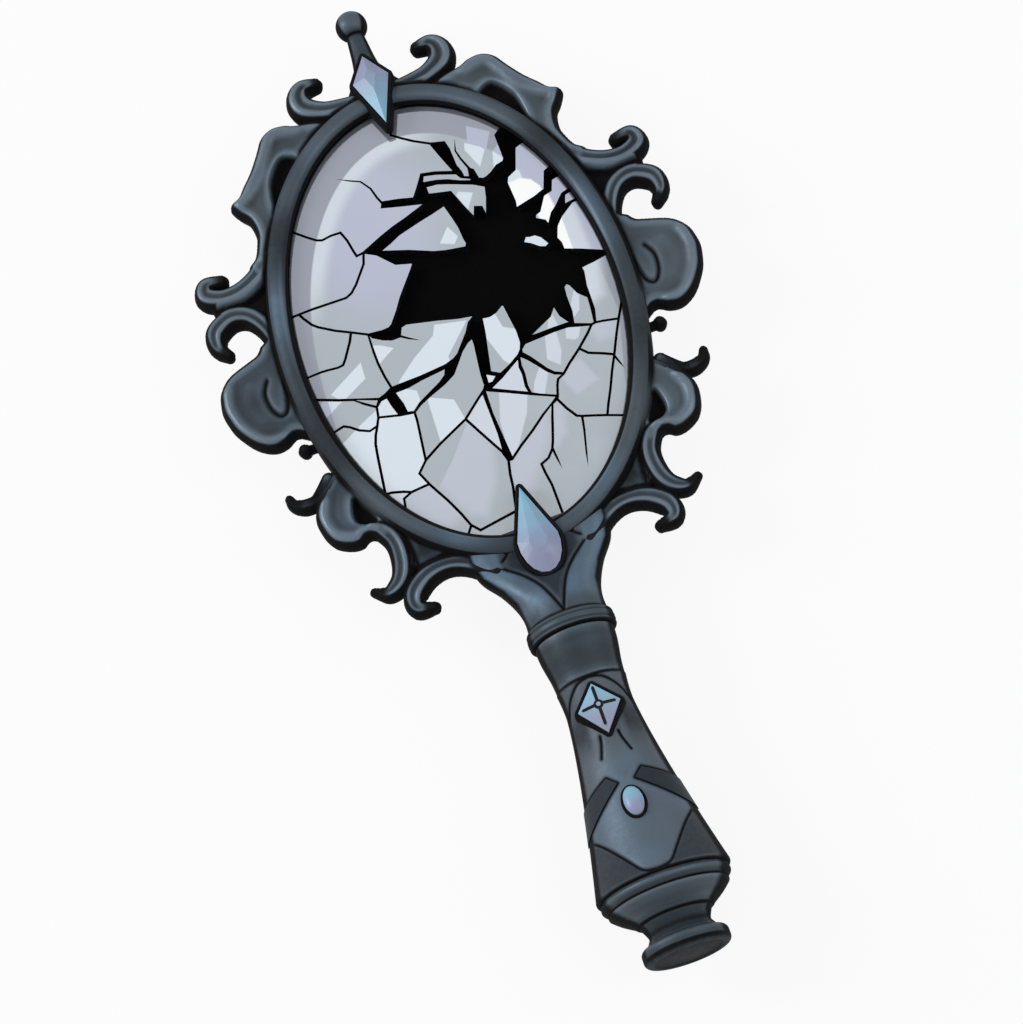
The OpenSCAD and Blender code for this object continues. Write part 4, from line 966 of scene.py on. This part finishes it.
neckLook = dict(blue=0.1, waist=7.82)


def addPommelNeck():
    # a waisted neck, hollow all round
    top, low = neckHigh[1], neckLow[1]
    r = (neckHigh[0] - neckLow[0]) / 2
    waist = smoothLine([[top - 0.1, r - 0.05], [top - 1.2, 8.5], [top - 3.0, neckLook["waist"]],
                        [low + 1.2, 8.4], [low + 0.1, r - 0.05]], 8)
    profile = np.vstack([[[top, 0.01], [top, r - 0.05]], waist, [[low, r - 0.1], [low, 0.01]]])
    addTurned("pommelNeck", profile, "pommel_neck", darkMetal, shadeSides, neckLook["blue"],
              joints=(top, low))


capLook = dict(blue=0.15, edge=1.3)


def capShade(y, t):
    # the end face is dull all over, and its edge is black
    face = ease(y, capLow[1] + 1.0, capLow[1] + 0.5)
    return np.maximum(shadeSides(y, t) * (1 - face), 0.55 * face + groove(y - capLow[1] - 1.1, 0.5))


def addPommelCap():
    # a disc with rounded edges and a slightly sunk end face
    top, low = capHigh[1], capLow[1]
    r, edge = halfWidth(capLow, capHigh), capLook["edge"]
    profile = np.vstack([[[top, 0.01], [top, r - 1.4]],
                         arc(top - edge, r - edge, edge - 0.02, 88, 0, 10),
                         arc(low + edge, r - edge, edge - 0.02, 0, -86, 10),
                         [[low + 0.01, r - 2.0], [low + 0.35, r - 2.5], [low + 0.38, r - 3.2],
                          [low + 0.1, 0.01]]])
    addTurned("pommelCap", profile, "pommel_cap", darkMetal, capShade, capLook["blue"])


addBand()
addFoot()
addPommelNeck()
addPommelCap()
print("handle done")


# finishes of the carried-over pieces
def dress(node, material):
    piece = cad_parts[node]
    piece.data.materials.clear()
    piece.data.materials.append(material)


boardLook = dict(base=paint(4, 4, 5), dust=paint(14, 14, 16), fibre=600)


def blackBoard():
    # card with fine fibres and a little dust
    s = newSheet("blackBoard")
    fibres = s.noise(boardLook["fibre"], 5, 0.7)
    dust = s.noise(60, 3).ramp(0.55, 0.8)
    colour = s.blend(dust * 0.25, boardLook["base"], boardLook["dust"])
    return s.finish({"Base Color": colour, "Roughness": fibres * 0.2 + 0.75, "Specular IOR Level": 0.04,
                     "Normal": s.bump(fibres, 0.3, 0.0003)})


skyBlue, lavender = paint(135, 182, 208), paint(143, 148, 178)
# each stone: its name, its tint at the upper end and at the lower end, and whether it has engraved lines
stones = dict(crown_gem=("crownStone", lavender, skyBlue, False),
              drop_gem=("dropStone", skyBlue, lavender, False),
              diamond_gem=("kiteStone", paint(139, 190, 215), paint(150, 152, 180), True),
              grip_gem=("budStone", skyBlue, lavender, False))


def engraved(x, y, middle):
    # a ring of radius 0.9 and four bars out from it: a bar is where either coordinate is near 0, from
    # the ring out to a square that stands on its corner
    away = x.maths("ABSOLUTE")
    down = (y - middle).maths("ABSOLUTE")
    radius = (away * away + down * down).maths("SQRT")
    thin = 1 - away.maths("MINIMUM", down).ramp(0.36, 0.5)
    bars = thin * radius.ramp(0.7, 0.9) * (1 - (away + down * 0.8).ramp(4.3, 4.6))
    hub = 1 - (radius - 0.9).maths("ABSOLUTE").ramp(0.28, 0.42)
    return bars.maths("MAXIMUM", hub)


def paleStone(name, top, bottom, cross, low, high):
    # a polished stone whose colour runs from one tint to the other along the handle
    s = newSheet(name)
    x, y = s.axes()
    run = (y * -1 + high) / (high - low)
    cloud = s.noise(160, 3)
    colour = s.blend((run + (cloud - 0.5) * 0.35).ramp(0.1, 0.9), top, bottom)
    colour = s.blend(cloud.ramp(0.55, 0.8) * 0.15, colour, paint(205, 222, 235))
    roughness = 0.35
    if cross:
        lines = engraved(x, y, (high + low) / 2 + 0.6)
        colour = s.blend(lines, colour, metalLook["black"])
        roughness = lines * 0.6 + roughness
    return s.finish({"Base Color": colour, "Roughness": roughness, "Specular IOR Level": 0.25,
                     "Coat Weight": 0.1, "Coat Roughness": 0.12})


for node, stone in stones.items():
    low, high = boxOf(node)
    dress(node, paleStone(*stone, low[1], high[1]))
for node, finish in dict(backing_board=blackBoard(), back_cover=plainDark, back_cover_screws=plainSteel,
                         tang=plainSteel, inlay_left=inlayDark, inlay_right=inlayDark).items():
    dress(node, finish)
print("stones and covers done")


# the broken glass
tints = dict(grey=paint(174, 183, 190), lilac=paint(184, 189, 210), border=paint(154, 159, 172),
             haze=paint(190, 197, 209), mist=paint(208, 216, 227), pale=paint(218, 228, 238),
             white=paint(254, 255, 255), black=paint(8, 9, 11), edge=paint(16, 19, 23))
# the border is painted shade, darker outside an oval that sits low in the glass; the painted glow lies just
# inside that oval
glassLook = dict(ovalX=0.3, ovalY=-14, ovalA=openA - 2.7, ovalB=openB + 5, glowWidth=6,
                 lilacX=-14, lilacY=32, lilacA=17, lilacB=24, lipShadowWidth=0.4, metallic=0.6, coat=0.25,
                 cloud=40, fleck=420, smear=95)


def ovalDepth(x, y, a, b):
    # how far in from an oval's edge, in millimetres: (1 - scaled radius) over the slope of that radius
    scaled = (x * x / a**2 + y * y / b**2).maths("SQRT")
    slope = (x * x / a**4 + y * y / b**4).maths("SQRT") / scaled.maths("MAXIMUM", 0.05)
    return (1 - scaled) / slope.maths("MAXIMUM", 0.001)


def fieldOf(spot, corners, soft):
    # inside a convex outline: the least distance in from its sides, eased over the soft width
    turn = sum(a[0] * b[1] - a[1] * b[0] for a, b in zip(corners, corners[1:] + corners[:1]))
    loop = corners if turn > 0 else corners[::-1]
    depth = None
    for a, b in zip(loop, loop[1:] + loop[:1]):
        long = math.hypot(b[0] - a[0], b[1] - a[1])
        inward = ((a[1] - b[1]) / long, (b[0] - a[0]) / long, 0)
        side = spot.along([v / mm for v in inward]) - (inward[0] * a[0] + inward[1] * a[1])
        depth = side if depth is None else depth.maths("MINIMUM", side)
    return depth.ramp(-soft / 2, soft / 2)


def mirrorGlass(name, fields):
    # silver under glass: grey with a lilac middle, a darker border of painted shade, a soft painted glow
    # inside it at the upper left, fields of painted reflection with crisp edges, and a black band of painted
    # shadow along the frame; broken faces are dark
    look = glassLook
    s = newSheet(name)
    spot = s.place()
    x, y = s.axes()
    up = s.node("ShaderNodeSeparateXYZ", sockets={0: s.node("ShaderNodeNewGeometry", out="Normal")}, out=2)
    cloud = s.noise(look["cloud"], 3)
    across, down = (x - look["lilacX"]) / look["lilacA"], (y - look["lilacY"]) / look["lilacB"]
    away = (across ** 2 + down ** 2).maths("SQRT") + (cloud - 0.5) * 0.5
    colour = s.blend((1 - away.ramp(0.5, 1.5)) * 0.95, tints["grey"], tints["lilac"])
    colour = s.blend(cloud.ramp(0.5, 0.72) * 0.3, colour, tints["haze"])
    inside = ovalDepth(x - look["ovalX"], y - look["ovalY"], look["ovalA"], look["ovalB"])
    # a painted glow just inside the oval at the upper left, and painted shade outside it
    upperLeft = (y - x * 0.9).ramp(38, 54)
    colour = s.blend((1 - inside.ramp(2.0, look["glowWidth"])) * upperLeft, colour, tints["mist"])
    colour = s.blend((1 - inside.ramp(-0.3, 0.3)) * (1 - (y * -1).ramp(16, 36)), colour, tints["border"])
    for tint, soft, corners in fields:
        covered = 1 if corners is None else fieldOf(spot, corners, soft)
        colour = s.blend(covered, colour, tints[tint])
    fleck = s.noise(look["fleck"], 4, 0.7)
    # a black band of painted shadow along the frame's lip, ragged at its inner edge
    rim = ovalDepth(x, y, glassA, glassB) - glassLap
    lipShadow = 1 - (rim + (fleck - 0.5) * 0.4).ramp(look["lipShadowWidth"] - 0.25, look["lipShadowWidth"] + 0.25)
    colour = s.blend(lipShadow, colour, tints["black"])
    side = 1 - up.ramp(0.4, 0.7)
    colour = s.blend(side, colour, tints["edge"])
    smear = s.noise(look["smear"], 4, 0.6)
    roughness = smear.ramp(0.45, 0.8) * 0.16 + 0.08 + (side + lipShadow) * 0.25
    return s.finish({"Base Color": colour, "Metallic": (1 - side) * (1 - lipShadow) * look["metallic"],
                     "Roughness": roughness, "Coat Weight": look["coat"], "Coat Roughness": 0.04})


# paler and darker fields of painted reflection on the silver: tint, width of its soft edge, corners (none
# means all of it)
paintedReflectionFields = {
    "shard_upper_right": [("lilac", 0.4, [(19.6, 51.4), (18.3, 46.2), (22.3, 42.3), (25, 47.4)]),
                          ("pale", 0.4, [(17.6, 46.6), (17, 44.5), (19.3, 38.2), (22, 42.6), (21.4, 43.6)]),
                          ("lilac", 0.4, [(24, 41.5), (26.5, 43.5), (27.5, 38), (25, 38)]),
                          ("pale", 0.4, [(23.8, 41.5), (22.3, 35.5), (27.5, 35.5), (25.4, 39)])],
    "shard_claw": [("pale", 0.4, [(10.7, 32.6), (11.6, 33.4), (15.1, 31.7), (12.3, 27.4)])],
    "shard_centre_high": [("pale", 0.3, [(5.7, 24.8), (2.4, 20.9), (5.9, 19.2), (7.4, 21.1)])],
    "shard_right_high": [("lilac", 0, None),
                         ("pale", 0.7, [(22, 42), (28.4, 42), (28.6, 33), (30.8, 29), (22, 29)]),
                         ("white", 0.6, [(22, 30.6), (28, 31), (30.6, 29.6), (32.2, 27), (33, 22),
                                       (22, 22)])],
    "shard_right_tip": [("lilac", 0, None),
                        ("white", 0.8, [(29, 22), (29, 14), (32, 14), (33.9, 20), (33.4, 24.6), (32, 26)])],
    "chip_right_rim": [("lilac", 0, None)],
    "shard_right_upper_rim": [("lilac", 0, None), ("mist", 2.2, [(28, 22), (28, 0), (38.6, 0), (38.6, 22)]),
                              ("white", 0.5, [(28, 22), (28, 0), (34.3, 0), (34.6, 22)])],
    "chip_in_hole": [("pale", 0, None)],
    "shard_heart": [("pale", 0.3, [(-24, 0), (-24, -6.6), (-18.2, -3.1), (-21, -1.2)]),
                    ("pale", 0.3, [(-6.3, -0.8), (-7.4, -3.3), (-6.2, -11.2), (2, -2.8)]),
                    ("pale", 0.3, [(-6.6, -3.0), (-14, -7.8), (-19.5, -12.4), (-22, -16), (-6, -16),
                                   (-5.6, -10.8)])],
    "shard_left_middle": [("pale", 0.3, [(-37.5, -9.6), (-27.5, -3.8), (-27.7, -8.6), (-35, -12.6)])],
    "shard_left_low": [("lilac", 0.4, [(-44, -12.4), (-38.8, -10), (-38.8, -14.3), (-44, -16.9)]),
                       ("pale", 0.4, [(-38.8, -9.6), (-34, -11.8), (-36.3, -13), (-38.8, -14.3)]),
                       ("pale", 0.4, [(-33.4, -20.8), (-27, -17.7), (-27, -25), (-33, -25)])],
    "shard_left_foot": [("pale", 0.4, [(-42, -25.2), (-27, -17.7), (-27, -45), (-38, -45)]),
                        ("lilac", 0.7, [(-42, -25.2), (-38, -23.2), (-37.4, -28), (-34, -38), (-42, -38)])],
    "shard_left_column": [("pale", 0, None)],
    "shard_star_left": [("pale", 0, None)],
    "shard_star_right": [("pale", 0.3, [(-24, -14), (-16.2, -14), (-16.2, -16.8), (-14.2, -18), (-14, -20),
                                        (-24, -24)])],
    "shard_centre_low": [("pale", 0.3, [(-14.4, -19.5), (-9.2, -16), (-8.4, -20.5), (-5.4, -24),
                                        (-2.6, -25.4), (-8, -35), (-14.9, -35)])],
    "chip_left_rim": [("mist", 0, None)],
    "shard_low_left": [("haze", 5, [(-30, -42), (-18, -42), (-14, -52), (-20, -56), (-30, -50)])],
    "shard_low_centre": [("haze", 3.5, [(-6, -28), (-20, -42), (-14, -54), (-10, -56), (-5, -48),
                                          (-2.5, -38)]),
                         ("grey", 0.3, [(-7, -26), (-7.5, -30.8), (-13.5, -38.4), (-19.5, -44.8),
                                        (-26, -40), (-20, -30)])],
    "wedge_left": [("mist", 0, None)],
    "wedge_right": [("mist", 0.4, [(3.6, -24.5), (1.2, -33), (0.4, -44), (2.4, -42.8), (8.4, -33),
                                   (10.2, -28)])],
    "chip_centre": [("pale", 0, None)],
    "shard_arrow": [("mist", 0, None)],
    "shard_blade": [("mist", 0.4, [(14.8, -20), (12.8, -25.8), (10.8, -28.5), (13.8, -30.8),
                                   (17.4, -23.8)])],
    "shard_tooth": [("pale", 0.3, [(4, -2), (9.2, -2), (10.3, -8.6), (9.5, -11.2), (5, -9.9)]),
                    ("pale", 0.3, [(5.2, -9.5), (10, -8), (14.2, -10.4), (14, -15), (9, -19.2), (7.4, -17)])],
    "shard_right_centre": [("mist", 0.4, [(20, -13), (22.8, -13), (22.2, -20), (20.7, -23.7), (18, -21),
                                          (18.5, -18.6)]),
                           ("mist", 0.4, [(25.2, -14.3), (28.9, -15.6), (27.6, -18), (26.5, -18.4),
                                          (24.4, -17.3)])],
    "shard_thorn": [("mist", 0.3, [(23, -7.4), (20.4, -14), (23.8, -14)])],
    "shard_fang": [("mist", 0.4, [(31, -4.6), (28, -9.6), (26.6, -15), (28.6, -15.8), (30.2, -11),
                                  (34, -8.4)])],
    "shard_right_rim": [("mist", 4, [(32, 5), (41, 5), (37.5, -9), (32, -11)])],
    "shard_right_low": [("haze", 3, [(30, -14), (40, -14), (37, -21), (32, -21)])],
    "shard_right_foot": [("haze", 1.5, [(21, -24), (26, -24), (28.5, -31), (22, -33), (20, -28)])],
    "shard_right_sliver": [("border", 0.5, [(40.6, -10), (46, -10), (46, -46), (31.5, -46), (35.4, -31),
                                            (37.5, -21)])],
    "shard_low_middle": [("haze", 5, [(-2, -43), (8, -37), (14, -32), (12, -42), (4, -52), (-2, -60)])],
    "shard_low_right": [("haze", 3, [(13, -33), (18, -34), (16, -42), (12, -45)])]}
shardNames = [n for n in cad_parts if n.startswith(("shard_", "sliver_", "chip_", "wedge_"))]
for name in shardNames:
    dress(name, mirrorGlass("glass_" + name, paintedReflectionFields.get(name, ())))
print("glass done:", len(shardNames), "pieces")


# floor, light and camera
floorLook = dict(half=3, low=-0.0001, grey=0.82, whitening=0.9)


def addFloor():
    # a matt floor, most of whose brightness is its own where it is seen directly
    look = floorLook
    half = look["half"]
    corners = [(x, y, look["low"]) for x, y in ((-half, -half), (half, -half), (half, half), (-half, half))]
    mesh = bpy.data.meshes.new("floor")
    mesh.from_pydata(corners, [], [(0, 1, 2, 3)])
    floor = bpy.data.objects.new("floor", mesh)
    bpy.context.collection.objects.link(floor)
    s = newSheet("paleFloor")
    matt = s.node("ShaderNodeBsdfDiffuse", {}, {"Color": (look["grey"], look["grey"], look["grey"], 1)})
    white = s.node("ShaderNodeEmission", {}, {"Color": (1, 1, 1, 1), "Strength": 1.0})
    s.output(s.node("ShaderNodeMixShader", {}, {0: s.straight() * look["whitening"], 1: matt, 2: white}))
    mesh.materials.append(s.owner)


# each lamp: where it hangs and how wide it is, in metres, and its power in watts
lamps = dict(keyLamp=((-0.9, 0.4, 0.66), 0.55, 7), fillLamp=((0.7, -0.25, 0.8), 0.8, 2.5))
lampTarget = Vector((0, -0.04, 0))


def addLamp(name, at, size, power):
    light = bpy.data.lights.new(name, "AREA")
    light.shape, light.size, light.energy = "DISK", size, power
    lamp = bpy.data.objects.new(name, light)
    lamp.location = at
    lamp.rotation_euler = (lampTarget - Vector(at)).to_track_quat("-Z", "Y").to_euler()
    bpy.context.collection.objects.link(lamp)


def lightWorld():
    # white all round: half as strong for the light on the object as for what is seen directly
    world = bpy.data.worlds.new("studio")
    bpy.context.scene.world = world
    s = Sheet(world, "ShaderNodeOutputWorld")
    strength = s.straight() * 0.5 + 0.5
    s.output(s.node("ShaderNodeBackground", {}, {"Color": (1, 1, 1, 1), "Strength": strength}))


addFloor()
lightWorld()
for name, settings in lamps.items():
    addLamp(name, *settings)

cameraLook = dict(target=(-3.953, -57.104, 18.5), distance=716.11, tilt=22, roll=19.9, lens=100)


def addCamera():
    # looks at the target from a distance, tilted towards the handle and rolled about its own line of sight
    look = cameraLook
    tilt, roll = math.radians(look["tilt"]), math.radians(look["roll"])
    back = Vector((0, -math.sin(tilt), math.cos(tilt)))
    above = Vector((0, math.cos(tilt), math.sin(tilt)))
    right = Vector((math.cos(roll), 0, 0)) - math.sin(roll) * above
    over = back.cross(right)
    data = bpy.data.cameras.new("camera")
    data.lens, data.sensor_width = look["lens"], 36
    camera = bpy.data.objects.new("camera", data)
    bpy.context.collection.objects.link(camera)
    turn = Matrix((right, over, back)).transposed().to_4x4()
    camera.matrix_world = Matrix.Translation((Vector(look["target"]) + back * look["distance"]) * mm) @ turn
    bpy.context.scene.camera = camera


addCamera()
bpy.context.scene.view_settings.view_transform = "Standard"
print("scene done")
